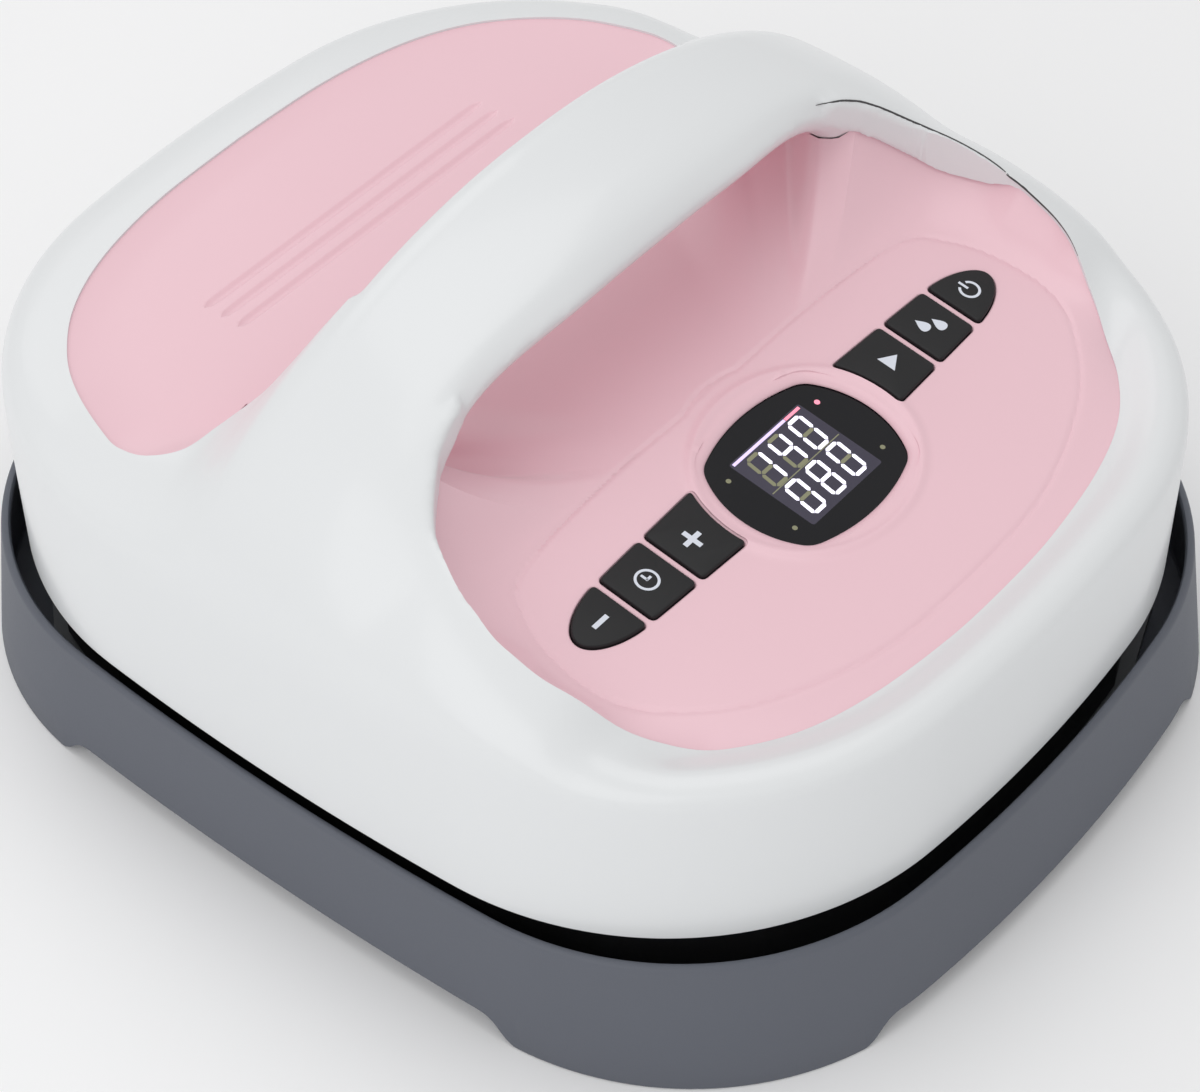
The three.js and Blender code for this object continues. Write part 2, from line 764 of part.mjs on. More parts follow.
function rearDeck() {
  const from = new THREE.Vector2(0, (rearReach + deckSplitY) / 2);
  const outline = inset(rearPlan(gripEdgeX, deckSplitY + gap), slideGap);
  const surface = (x, y, share, angle) => {
    const whole = rayReach(outline, from, angle);
    const edge = new THREE.Vector2(from.x + whole * Math.cos(angle),
      from.y + whole * Math.sin(angle));
    const along = smooth(rearTurnY, rearTurnY + 4 * gap, edge.y);
    const low = rearDeckZ + (gripRimZ - rearDeckZ) * footSide(edge.x);
    const rim = low * (1 - along) + along * (topHeight(edge.x, edge.y) - deckEdgeDrop);
    const climb = THREE.MathUtils.clamp((share - rearFlatShare) / (1 - rearFlatShare), 0, 1);
    return rearDeckZ + (rim - rearDeckZ) * climb ** 2;
  };
  let deck = deckSolid(outline, from, rearLevelShares, surface);
  for (let i = -1; i <= 1; i += 1) {
    const shape = slotShape(grooveLength, grooveWidth);
    const geometry = new THREE.ExtrudeGeometry(shape, { depth: overrun, bevelEnabled: false });
    geometry.translate(0, grooveMidY + i * groovePitch, rearDeckZ - grooveDepth);
    deck = deck.subtract(toSolid(geometry));
  }
  return deck;
}

function slotShape(length, width) {
  const r = width / 2;
  const x = length / 2 - r;
  const shape = new THREE.Shape();
  shape.absarc(x, 0, r, -Math.PI / 2, Math.PI / 2);
  shape.absarc(-x, 0, r, Math.PI / 2, (3 * Math.PI) / 2);
  shape.closePath();
  return shape;
}

// Buttons, in the panel's own frame: u along the row, v up the panel, w out of it
const panel = new THREE.Group();
panel.position.set(0, panelRowY, panelRowZ);
panel.rotation.x = THREE.MathUtils.degToRad(panelTilt);
part.add(panel);

function rowHalf(u) {
  const flat = rowMidHalfV - (rowArcRadius - Math.sqrt(rowArcRadius * rowArcRadius - u * u));
  const endRadius = rowEndU - outerSplitU - barWidth / 2;
  const into = u - (rowEndU - endRadius);
  if (into <= 0) return flat;
  return flat * Math.sqrt(Math.max(0, 1 - (into / endRadius) ** 2));
}

// Outline of the button between two places of the row, u0 < u1 on the +U side
function buttonOutline(u0, u1, grow) {
  const rounded = u1 === rowEndU;
  const steps = rounded ? endSteps : 2;
  const high = [];
  const low = [];
  for (let i = 0; i <= steps; i += 1) {
    const along = rounded ? Math.sin((i / steps) * Math.PI / 2) : i / steps;
    const half = rowHalf(u0 + (u1 - u0) * along) + (rounded && i === steps ? 0 : grow);
    const u = u0 - grow + (u1 - u0 + 2 * grow) * along;
    high.push(new THREE.Vector2(u, half));
    if (half > 0) low.push(new THREE.Vector2(u, -half));
  }
  return [...low, ...high.reverse()];
}

function eyeOutline(u1, grow) {
  const points = [];
  const steps = endSteps;
  const radius = eyeRadius - grow;
  const far = u1 + grow;
  for (let i = 0; i <= steps; i += 1) {
    const v = -rowHalf(eyeRadius) - grow + (2 * (rowHalf(eyeRadius) + grow) * i) / steps;
    const u = Math.sqrt(radius * radius - (v - displayV) ** 2);
    points.push(new THREE.Vector2(u, v));
  }
  points.push(new THREE.Vector2(far, rowHalf(u1) + grow));
  points.push(new THREE.Vector2(far, -rowHalf(u1) - grow));
  return points.reverse();
}

function buttonPlan(place, grow) {
  const halfBar = barWidth / 2;
  const points = [
    () => eyeOutline(innerSplitU - halfBar, grow),
    () => buttonOutline(innerSplitU + halfBar, outerSplitU - halfBar, grow),
    () => buttonOutline(outerSplitU + halfBar, rowEndU, grow),
  ][Math.abs(place) - 1]();
  return place > 0 ? points : points.map((p) => new THREE.Vector2(-p.x, p.y)).reverse();
}

const buttonPlaces = {
  button_minus: -3,
  button_set: -2,
  button_plus: -1,
  button_start: 1,
  button_mode: 2,
  button_power: 3,
};
const switchU = {
  1: (eyeRadius + innerSplitU) / 2,
  2: (innerSplitU + outerSplitU) / 2,
  3: (outerSplitU + rowEndU) / 2,
};
const flangeTopW = -deckWall - gap;
const buttonFootW = flangeTopW - flangeWall - buttonStem;
const stemTopW = buttonFootW - buttonTravel - gap;
const boardTopW = stemTopW - switchStemHeight - switchBody - gap;

function button(place) {
  const cap = prism(buttonPlan(place, 0), flangeTopW - flangeWall, buttonRise);
  const flange = prism(buttonPlan(place, buttonFlange), flangeTopW - flangeWall, flangeTopW);
  const u = switchU[Math.abs(place)] * Math.sign(place);
  const stem = block(switchSize, switchSize, buttonFootW, flangeTopW, u, 0);
  return cap.add(flange).add(stem);
}

// The panel's cuts, turned into the part's frame
function toPart(solid) {
  panel.updateMatrixWorld(true);
  return solid.transform(panel.matrixWorld.elements);
}

const lensPlan = new Plan(lensHalfU, lensHalfV, lensSideRadius, lensEndRadius, lensCornerRadius);

function shiftedRing(plan, w) {
  return plan.ring(w, lensSteps).map((p) => p.setY(p.y + displayV));
}

function panelCuts() {
  const holes = Object.values(buttonPlaces)
    .map((place) => prism(buttonPlan(place, slideGap), -2 * deckWall, overrun));
  const seat = lensPlan.grown(lensLap + slideGap);
  const pocketTop = -lensSink - gap;
  holes.push(toSolid(loft([shiftedRing(seat, -3 * deckWall), shiftedRing(seat, pocketTop)])));
  holes.push(toSolid(loft([shiftedRing(lensPlan, -3 * deckWall), shiftedRing(lensPlan, -lensSink),
    shiftedRing(lensPlan.grown(bezelWidth), gap)])));
  return union(holes);
}

function panelPosts(radius, w0, w1) {
  return union(corners(postU, postV).map(([u, v]) => rod(radius, w0, w1, u, v + boardMidV)));
}

function displayLens() {
  const plan = lensPlan.grown(lensLap);
  const low = -lensSink - 2 * gap - lensWall;
  return toSolid(loft([shiftedRing(plan, low), shiftedRing(plan, low + lensWall)]));
}

function screw(head, headHeight, shank, length, up) {
  const profile = [[0, 0], [shank, 0], [shank, length], [head, length],
    [head, length + headHeight * 0.6], [head * 0.6, length + headHeight], [0, length + headHeight]];
  const points = profile.map(([r, z]) => new THREE.Vector2(r, up ? -z : z));
  return new THREE.LatheGeometry(up ? points.reverse() : points, roundSteps).rotateX(Math.PI / 2);
}

// Levels of the plate stack
const padTopZ = trayFloorZ + trayFloor + gap + padThickness;
const plateZ = padTopZ + gap;
const plateTopZ = plateZ + plateThickness;
const elementZ = plateTopZ + gap + elementRadius;
const clampZ = elementZ + elementRadius + gap;
const blanketZ = clampZ + clampWall + gap;
const flangeTopZ = edgeZ + skirtFlangeWall + gap;
const flangeZ = flangeTopZ - skirtFlangeWall;
const shieldZ = flangeTopZ + gap;
const shieldTopZ = shieldZ + shieldWall;

function safetyBase() {
  const foot = new Plan(footHalfX, footHalfY, footSideRadius, footEndRadius, footCornerRadius);
  const rim = new Plan(rimHalfX, rimHalfY, rimSideRadius, rimEndRadius, rimCornerRadius);
  const inner = rim.grown(-trayWall);
  const low = foot.grown(-trayWall);
  const outer = toSolid(loft([foot.ring(0), rim.ring(rimZ - rimRound),
    rim.grown(-rimRound / 3).ring(rimZ - rimRound / 3), rim.grown(-trayWall / 3).ring(rimZ)]));
  const room = toSolid(loft([low.ring(trayFloorZ + trayFloor), inner.ring(rimZ - rimRound),
    inner.grown(rimRound / 3).ring(rimZ - rimRound / 3), inner.grown(trayWall / 3).ring(rimZ),
    inner.grown(trayWall / 3).ring(rimZ + overrun)]));
  const under = foot.grown(-footWall).slab(-overrun, trayFloorZ);
  let tray = outer.subtract(room).subtract(under);
  [[notchHalfY, footHalfX, Math.PI / 2], [notchHalfX, footHalfY, 0]].forEach(([half, reach, turn]) => {
    const shape = new THREE.Shape();
    shape.moveTo(-half - notchRamp, -overrun);
    shape.lineTo(-half - notchRamp, 0);
    shape.bezierCurveTo(-half, 0, -half, notchHeight, -half + notchRamp, notchHeight);
    shape.lineTo(half - notchRamp, notchHeight);
    shape.bezierCurveTo(half, notchHeight, half, 0, half + notchRamp, 0);
    shape.lineTo(half + notchRamp, -overrun);
    const depth = 2 * (reach + overrun);
    const cut = new THREE.ExtrudeGeometry(shape, { depth, bevelEnabled: false, curveSegments: 6 });
    cut.rotateX(Math.PI / 2).translate(0, depth / 2, 0).rotateZ(turn);
    tray = tray.subtract(toSolid(cut));
  });
  return tray;
}

function insulationPad() {
  const low = new Plan(rimHalfX, rimHalfY, rimSideRadius, rimEndRadius, rimCornerRadius);
  return low.grown(-padInset).slab(padTopZ - padThickness, padTopZ, innerSteps);
}

const skirtPlan = new Plan(skirtHalfX, skirtHalfY, shellSideRadius, shellEndRadius,
  skirtCornerRadius);

function lowerSkirt() {
  const wall = skirtPlan;
  const skirtFootZ = plateZ + skirtLift;
  const outer = wall.slab(skirtFootZ, flangeTopZ, innerSteps);
  const flange = edgePlan.grown(-shellWall - slideGap).slab(flangeZ, flangeTopZ, innerSteps);
  const room = wall.grown(-skirtWall).slab(skirtFootZ - overrun, flangeZ, innerSteps);
  const hole = wall.grown(-flangeInset).slab(skirtFootZ, flangeTopZ + overrun, innerSteps);
  const bores = corners(bossX, bossY).map(([x, y]) => rod(shellScrewRadius + slideGap,
    flangeZ - overrun, flangeTopZ + overrun, x, y));
  return outer.add(flange).subtract(room).subtract(hole).subtract(union(bores));
}

const platePlan = new Plan(plateHalfX, plateHalfY, shellSideRadius, shellEndRadius,
  plateCornerRadius);

function heatPlate() {
  const bevel = rimRound;
  const plate = toSolid(loft([platePlan.grown(-bevel).ring(plateZ, innerSteps),
    platePlan.ring(plateZ + bevel, innerSteps), platePlan.ring(plateTopZ, innerSteps)]));
  const holes = corners(spacerX, spacerY).map(([x, y]) => rod(plateScrewRadius + gap,
    plateTopZ - plateThreadDepth, plateTopZ + overrun, x, y));
  return plate.subtract(union(holes));
}

class ElementPath extends THREE.Curve {
  // Straight legs along Y, joined by half turns
  getPoint(t) {
    const turn = (Math.PI * legPitch) / 2;
    const leg = 2 * elementReachY - legPitch;
    const total = elementLegs * leg + (elementLegs - 1) * turn;
    let left = t * total;
    let index = 0;
    while (left > leg + turn && index < elementLegs - 1) {
      left -= leg + turn;
      index += 1;
    }
    const way = index % 2 ? -1 : 1;
    const x = -elementReachX + index * legPitch;
    if (left <= leg) return new THREE.Vector3(x, way * (left - leg / 2), elementZ);
    const angle = ((left - leg) / turn) * Math.PI;
    return new THREE.Vector3(x + (legPitch / 2) * (1 - Math.cos(angle)),
      way * (leg / 2 + (legPitch / 2) * Math.sin(angle)), elementZ);
  }
}

function heatingElement() {
  const section = new THREE.Shape();
  section.absarc(0, 0, elementRadius, 0, Math.PI * 2);
  return new THREE.ExtrudeGeometry(section, {
    steps: elementSegments, extrudePath: new ElementPath(), curveSegments: 3, bevelEnabled: false,
  });
}

function blanket() {
  const slab = skirtPlan.grown(-flangeInset - slideGap).slab(blanketZ, shieldZ - gap, innerSteps);
  const holes = corners(spacerX, spacerY).map(([x, y]) => rod(spacerRadius + gap,
    blanketZ - overrun, shieldZ + overrun, x, y));
  return slab.subtract(union(holes));
}

function heatShield() {
  const plan = edgePlan.grown(-shellWall - shieldInset);
  const holes = corners(spacerX, spacerY).map(([x, y]) => rod(plateScrewRadius + gap,
    shieldZ - overrun, shieldTopZ + overrun, x, y));
  corners(bossX, bossY).forEach(([x, y]) => holes.push(rod(shellScrewRadius + slideGap,
    shieldZ - overrun, shieldTopZ + overrun, x, y)));
  const studs = corners(powerX / 2 - 2 * standRadius, powerY / 2 - 2 * standRadius)
    .map(([x, y]) => rod(standRadius, shieldZ, shieldTopZ + powerLift, x, y + powerMidY));
  return plan.slab(shieldZ, shieldTopZ, innerSteps).subtract(union(holes)).add(union(studs));
}

// Assembly
node('safety_base', safetyBase(), 'grey');
node('insulation_pad', insulationPad(), 'silicone');
node('upper_shell', upperShell(), 'white');
node('handle_cover', gripCover(), 'white');
node('foot_lining_right', footLining(1), 'white');
node('foot_lining_left', footLining(-1), 'white');
const bar = barSolid(slideGap, false, barSteps);
node('front_deck', frontDeck().subtract(toPart(panelCuts())).subtract(bar)
  .add(toPart(panelPosts(postRadius, boardTopW + gap, -deckWall / 2)
    .subtract(panelPosts(postBore, boardTopW - overrun, -deckWall * 0.8)))), 'pink');
node('rear_deck', rearDeck().subtract(bar), 'pink');
node('lower_skirt', lowerSkirt(), 'black');
node('heat_plate', heatPlate(), 'plate');
node('heating_element', heatingElement(), 'steel');
node('insulation_blanket', blanket(), 'felt');
node('heat_shield', heatShield(), 'steel');

for (let i = -1; i <= 1; i += 1) {
  const y = (i * elementReachY) / 2;
  node(`element_clamp_${i + 2}`, block(clampLength, clampWidth, clampZ, clampZ + clampWall, 0, y),
    'steel');
}
corners(spacerX, spacerY).forEach(([x, y], i) => {
  const spacer = rod(spacerRadius, plateTopZ + gap, shieldZ - gap, x, y)
    .subtract(rod(plateScrewRadius + gap, plateTopZ - overrun, shieldZ + overrun, x, y));
  node(`plate_spacer_${i + 1}`, spacer, 'ceramic');
  const length = shieldTopZ + gap - plateTopZ + plateThreadDepth - gap;
  const fastener = screw(plateScrewHead, plateScrewHeadHeight, plateScrewRadius, length, false);
  node(`plate_screw_${i + 1}`, fastener, 'steel')
    .position.set(x, y, plateTopZ - plateThreadDepth + gap);
});
corners(bossX, bossY).forEach(([x, y], i) => {
  const fastener = screw(shellScrewHead, shellScrewHeadHeight, shellScrewRadius, shellScrewGrip,
    true);
  node(`shell_screw_${i + 1}`, fastener, 'steel')
    .position.set(x, y, flangeZ - gap + shellScrewGrip);
});

node('display_lens', displayLens(), 'lens', panel);
const moduleTopW = -lensSink - 3 * gap - lensWall;
node('display_module', block(moduleU, moduleV, boardTopW + gap, moduleTopW, 0, displayV), 'black',
  panel);
Object.entries(buttonPlaces).forEach(([name, place]) => {
  node(name, button(place), 'button', panel);
  const u = switchU[Math.abs(place)] * Math.sign(place);
  const key = block(switchSize, switchSize, boardTopW + gap, boardTopW + gap + switchBody, u, 0)
    .add(rod(switchStem, boardTopW + gap, stemTopW, u, 0));
  node(name.replace('button', 'switch'), key, 'black', panel);
});

function roundedSlab(sizeX, sizeY, corner, z0, z1) {
  const shape = new THREE.Shape();
  corners(sizeX / 2 - corner, sizeY / 2 - corner).forEach(([x, y], i) => {
    shape.absarc(x, y, corner, (i * Math.PI) / 2, ((i + 1) * Math.PI) / 2);
  });
  shape.closePath();
  const geometry = new THREE.ExtrudeGeometry(shape, {
    depth: z1 - z0, bevelEnabled: false, curveSegments: 4,
  });
  return toSolid(geometry.translate(0, 0, z0));
}

const boardFootW = boardTopW - boardWall;
const controlBoard = roundedSlab(boardU, boardV, boardCorner, boardFootW, boardTopW)
  .translate([0, boardMidV, 0])
  .subtract(panelPosts(smallScrewShank + gap, boardFootW - overrun, boardTopW + overrun));
node('control_board', controlBoard, 'board', panel);
corners(postU, postV).forEach(([u, v], i) => {
  const fastener = screw(smallScrewHead, smallScrewHeadHeight, smallScrewShank, smallScrewLength,
    true);
  node(`board_screw_${i + 1}`, fastener, 'steel', panel)
    .position.set(u, v + boardMidV, boardFootW - gap + smallScrewLength);
});
node('buzzer', rod(buzzerRadius, boardFootW - gap - buzzerHeight, boardFootW - gap, innerSplitU,
  boardMidV), 'black', panel);

const powerZ = shieldTopZ + powerLift + gap;
const powerTopZ = powerZ + boardWall + gap;
node('power_board', roundedSlab(powerX, powerY, boardCorner / 2, powerZ, powerZ + boardWall)
  .translate([0, powerMidY, 0]), 'board');
node('relay', block(relaySize[0], relaySize[1], powerTopZ, powerTopZ + relaySize[2], relayMid[0],
  powerMidY + relayMid[1]), 'black');
node('transformer', block(coilSize[0], coilSize[1], powerTopZ, powerTopZ + coilSize[2], coilMid[0],
  powerMidY + coilMid[1]), 'steel');
node('capacitor', rod(capRadius, powerTopZ, powerTopZ + capHeight, capMid[0],
  powerMidY + capMid[1]), 'black');
node('temperature_sensor', block(sensorWidth, sensorLength, plateTopZ + gap,
  plateTopZ + gap + sensorHeight, legPitch, 0), 'steel');
const fuse = new THREE.CylinderGeometry(fuseRadius, fuseRadius, fuseLength, roundSteps);
node('thermal_fuse', fuse, 'ceramic')
  .position.set(-legPitch, 0, plateTopZ + gap + fuseRadius);

function cordInlet() {
  const half = shellWall / 2 + slideGap;
  const profile = [[inletBore, -inletDepth / 2], [inletRadius, -inletDepth / 2],
    [inletRadius, -half - inletFlangeWall / 2], [inletRadius, half], [inletFlange, half],
    [inletFlange, half + inletFlangeWall * 0.6], [inletFlange * 0.86, half + inletFlangeWall],
    [inletBore, half + inletFlangeWall], [inletBore, -inletDepth / 2]];
  const points = profile.map(([r, z]) => new THREE.Vector2(r, z));
  return new THREE.LatheGeometry(points, roundSteps);
}
const inletY = (edgeHalfY + shoulderHalfY - shellWall) / 2;
node('cord_inlet', cordInlet(), 'black').position.set(0, inletY, inletZ);

export default part;
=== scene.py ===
# %% [markdown]
# # A hand-held craft heat press on its safety base
# The press is a heavy heated plate in a white moulded shell with an arched handle,
# a pink control deck in front of the handle and a pink deck behind it. It stands in
# a grey tray that keeps the hot plate off the table. The engineering model gives
# every solid its place. This lesson dresses those solids: it rebuilds the moulded
# skins with smooth, fine surfaces and gives each piece the finish of the real one.

import json
import math

import bpy
import numpy as np
from mathutils import Matrix, Vector


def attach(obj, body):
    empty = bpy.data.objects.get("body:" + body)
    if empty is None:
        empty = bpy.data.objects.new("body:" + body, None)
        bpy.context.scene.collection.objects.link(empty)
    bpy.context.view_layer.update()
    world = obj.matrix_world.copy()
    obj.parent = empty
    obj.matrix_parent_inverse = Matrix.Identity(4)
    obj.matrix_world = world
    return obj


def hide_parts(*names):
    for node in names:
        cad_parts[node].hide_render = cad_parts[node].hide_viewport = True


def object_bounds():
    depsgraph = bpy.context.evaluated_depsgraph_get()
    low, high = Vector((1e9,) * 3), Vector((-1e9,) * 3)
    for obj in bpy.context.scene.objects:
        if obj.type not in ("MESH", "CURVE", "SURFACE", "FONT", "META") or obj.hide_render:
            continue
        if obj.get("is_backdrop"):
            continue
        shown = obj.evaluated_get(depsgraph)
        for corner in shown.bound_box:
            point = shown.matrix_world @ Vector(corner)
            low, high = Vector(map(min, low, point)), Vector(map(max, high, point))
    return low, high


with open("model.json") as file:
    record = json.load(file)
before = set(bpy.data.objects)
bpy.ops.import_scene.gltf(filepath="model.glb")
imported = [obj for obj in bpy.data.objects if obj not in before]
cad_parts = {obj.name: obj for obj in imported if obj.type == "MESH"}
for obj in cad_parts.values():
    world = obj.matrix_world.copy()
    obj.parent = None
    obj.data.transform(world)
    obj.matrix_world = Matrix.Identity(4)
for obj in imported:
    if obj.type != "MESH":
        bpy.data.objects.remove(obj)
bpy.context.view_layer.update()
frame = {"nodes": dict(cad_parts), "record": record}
print("solids in the frame:", len(frame["nodes"]))

# %% [markdown]
# ## Camera
# The camera comes first, because all that follows is judged through it. The real
# object was photographed from its front left, about 45 degrees above the table,
# with a long lens. We turn an azimuth, an elevation and a small roll into the three
# axes of the camera, which is easier to adjust than three Euler angles.

# %% Camera at the viewing angle of the picture
MM = 0.001
AZIMUTH = math.radians(-50.181)
ELEVATION = math.radians(45.361)
ROLL = math.radians(-0.888)
LOOK_AT = Vector((0.02206, 0.01635, 0.0))
DISTANCE = 1.080

back = Vector((math.sin(AZIMUTH) * math.cos(ELEVATION),
               -math.cos(AZIMUTH) * math.cos(ELEVATION), math.sin(ELEVATION)))
level_right = (-back).cross(Vector((0, 0, 1))).normalized()
level_up = level_right.cross(-back)
right = math.cos(ROLL) * level_right + math.sin(ROLL) * level_up
up = -math.sin(ROLL) * level_right + math.cos(ROLL) * level_up

camera_data = bpy.data.cameras.new("camera")
camera_data.lens = 100.58
camera_data.sensor_width = 36
camera = bpy.data.objects.new("camera", camera_data)
camera.matrix_world = Matrix.Translation(LOOK_AT + DISTANCE * back) @ Matrix(
    (right, up, back)).transposed().to_4x4()
bpy.context.scene.collection.objects.link(camera)
bpy.context.scene.camera = camera
bpy.context.scene.view_settings.view_transform = "Standard"
print("camera stands at", [round(v, 3) for v in camera.location])

# %% [markdown]
# ## Floor and studio lights
# A product photograph is lit by large soft sources against white. A wide pale sheet
# carries the object, and area lights at a good distance give soft shadows and long
# calm reflections on the glossy shell. A bright world fills what they leave dark.

# %% Floor
def link(data, name):
    made = bpy.data.objects.new(name, data)
    bpy.context.scene.collection.objects.link(made)
    return made


def mesh_object(name, points, faces):
    mesh = bpy.data.meshes.new(name)
    mesh.from_pydata([tuple(map(float, p)) for p in points], [], [tuple(f) for f in faces])
    mesh.validate()
    mesh.update()
    return link(mesh, name)


def new_material(name):
    material = bpy.data.materials.new(name)
    material.use_nodes = True
    shader = material.node_tree.nodes["Principled BSDF"]
    return material, material.node_tree, shader


FLOOR_HALF, FLOOR_Z = 6, -0.0002
WORLD_LIGHT = 0.68
floor = mesh_object("floor", [(x * FLOOR_HALF, y * FLOOR_HALF, FLOOR_Z)
                              for x, y in ((-1, -1), (1, -1), (1, 1), (-1, 1))], [(0, 1, 2, 3)])
floor_paper, _, floor_shader = new_material("floor_paper")
floor_shader.inputs["Base Color"].default_value = (0.93, 0.93, 0.935, 1)
floor_shader.inputs["Roughness"].default_value = 0.9
floor.data.materials.append(floor_paper)
floor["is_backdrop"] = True

world = bpy.data.worlds.new("studio")
world.use_nodes = True
world.node_tree.nodes["Background"].inputs["Color"].default_value = (1, 1, 1, 1)
world.node_tree.nodes["Background"].inputs["Strength"].default_value = WORLD_LIGHT
bpy.context.scene.world = world


# %% Studio lights
def soft_light(name, place, aim, size, watts):
    data = bpy.data.lights.new(name, "AREA")
    data.shape = "RECTANGLE"
    data.size, data.size_y = size
    data.energy = watts
    light = link(data, name)
    light.location = place
    light.rotation_mode = "QUATERNION"
    light.rotation_quaternion = (Vector(aim) - Vector(place)).to_track_quat("-Z", "Y")
    return light


soft_light("light_above", (0.1, 0.15, 1.5), (0, 0, 0.1), (1.2, 1.2), 4.2)
soft_light("light_left", (-1.4, -0.2, 0.9), (0, 0, 0.1), (1.5, 1.5), 6.6)
soft_light("light_rear", (0.5, 1.4, 1.1), (0, 0, 0.1), (1.0, 0.8), 1.8)

# %% [markdown]
# ## The outline that all mouldings share
# Seen from above, shell, tray and skirt are rounded oblongs. Their sides and ends are
# not straight: each is a long arc, and a tighter arc joins them at the corners. We
# find the corner circle that touches both arcs, and then ask how far the outline lies
# from the middle in any direction. One such function gives every level of a wall.

# %% Rounded plan made of tangent arcs
def rounded_plan(half_x, half_y, side_radius, end_radius, corner_radius):
    side_x, end_y = half_x - side_radius, half_y - end_radius
    r0, r1 = side_radius - corner_radius, end_radius - corner_radius
    span = math.hypot(side_x, end_y)
    along = (r0 * r0 - r1 * r1 + span * span) / (2 * span)
    off = math.sqrt(max(0.0, r0 * r0 - along * along))
    ux, uy = -side_x / span, end_y / span
    corner_x, corner_y = max(
        ((side_x + ux * along + s * uy * off, uy * along - s * ux * off) for s in (-1, 1)), key=sum)
    side_turn = math.atan2(corner_y, corner_x - side_x)
    end_turn = math.atan2(corner_y - end_y, corner_x)
    side_angle = math.atan2(corner_y + corner_radius * math.sin(side_turn),
                            corner_x + corner_radius * math.cos(side_turn))
    end_angle = math.atan2(corner_y + corner_radius * math.sin(end_turn),
                           corner_x + corner_radius * math.cos(end_turn))

    def reach(angle):
        c, s = np.abs(np.cos(angle)), np.abs(np.sin(angle))
        turn = np.arctan2(s, c)
        side, end = turn < side_angle, turn > end_angle
        cx = np.where(side, side_x, np.where(end, 0.0, corner_x))
        cy = np.where(side, 0.0, np.where(end, end_y, corner_y))
        r = np.where(side, side_radius, np.where(end, end_radius, corner_radius))
        dot = c * cx + s * cy
        return dot + np.sqrt(dot * dot - cx * cx - cy * cy + r * r)

    return reach


def plan_ring(plan, z, steps, share=1.0):
    angle = np.arange(steps) * 2 * np.pi / steps
    r = plan(angle) * share
    return np.stack([r * np.cos(angle), r * np.sin(angle), np.full(steps, float(z))], 1)


def loft(name, rings):
    """A skin over rings of equal length, with both ends closed."""
    count = len(rings[0])
    points = np.concatenate(rings)
    faces = []
    step = np.arange(count)
    after = (step + 1) % count
    for ring in range(len(rings) - 1):
        a, b = ring * count + step, ring * count + after
        faces.append(np.stack([a, b, b + count, a + count], 1))
    faces = [tuple(f) for f in np.concatenate(faces).tolist()]
    faces.append(tuple(reversed(range(count))))
    faces.append(tuple((len(rings) - 1) * count + i for i in range(count)))
    return mesh_object(name, points * MM, faces)


EDGE = (144.6, 164.0, 953.0, 491.0, 102.7)
SHOULDER = (143.8, 165.2, 953.0, 491.0, 102.7)
EDGE_Z, SHOULDER_Z, CROWN_Z = 50.0, 98.0, 183.0
SHELL_WALL = 2.6
SKIN_BELOW, ROOM_BELOW = 4, 6


def grown(plan, by):
    return rounded_plan(*(v + by for v in plan))


print("shell reach at the side and at the front, mm:",
      grown(SHOULDER, 0)(np.array([0, np.pi / 2])).round(1))

# %% [markdown]
# ## The height of the shell
# The shell's top is one surface. Along its length it rises from the front rim to the
# handle's crest and falls again to the rear. Across, it is rounded at the shoulders:
# nearly an ellipse at the handle and much squarer over the decks. A short table holds
# the crest, another holds the squareness, and a smooth curve runs through each.

# %% Surface of the moulded shell
CREST = [(-1, 0.176), (-0.9, 0.176), (-0.73, 0.18), (-0.62, 0.235), (-0.53, 0.388),
         (-0.438, 0.506), (-0.347, 0.624), (-0.255, 0.765), (-0.17, 0.894), (-0.06, 0.976),
         (0.085, 1), (0.146, 0.941), (0.195, 0.788), (0.243, 0.588), (0.298, 0.435),
         (0.365, 0.365), (0.43, 0.335), (0.547, 0.29), (0.67, 0.28), (1, 0.28)]
FULLNESS = [(-1, 5), (-0.73, 4.5), (-0.53, 3.3), (-0.35, 2.6), (-0.18, 2), (0.18, 2), (0.3, 2.6),
            (0.43, 3.2), (0.6, 5), (1, 5)]


def table_at(table, t):
    xs, ys = np.array(table, float).T
    slope = np.diff(ys) / np.diff(xs)
    before, after = slope[:-1], slope[1:]
    tangent = np.zeros(len(xs))
    total = np.where(before * after > 0, before + after, 1)
    tangent[1:-1] = np.where(before * after > 0, 2 * before * after / total, 0)
    t = np.clip(t, xs[0], xs[-1])
    i = np.clip(np.searchsorted(xs, t) - 1, 0, len(xs) - 2)
    width = xs[i + 1] - xs[i]
    u = (t - xs[i]) / width
    v = 1 - u
    return (ys[i] * (1 + 2 * u) * v * v + ys[i + 1] * (3 - 2 * u) * u * u
            + tangent[i] * width * u * v * v - tangent[i + 1] * width * v * u * u)


def smoothstep(low, high, value):
    t = np.clip((value - low) / (high - low), 0, 1)
    return t * t * (3 - 2 * t)


shoulder_reach = grown(SHOULDER, 0)


def top_height(x, y, drop=0.0):
    x, y = np.asarray(x, float), np.asarray(y, float)
    plan = grown(SHOULDER, -drop)
    angle, r = np.arctan2(y, x), np.hypot(x, y)
    share = np.minimum(1, r / plan(angle))
    t = y / SHOULDER[1]
    rise = (CROWN_Z - SHOULDER_Z) * table_at(CREST, t) - drop
    full = table_at(FULLNESS, t)
    rounding = (1 - share ** full) ** (1 / full)
    outer = np.minimum(1, r / shoulder_reach(angle))
    dish = 8 * (1 - smoothstep(-0.73, -0.53, t)) * (1 - smoothstep(0.87, 0.965, outer))
    return SHOULDER_Z + rise * rounding - dish


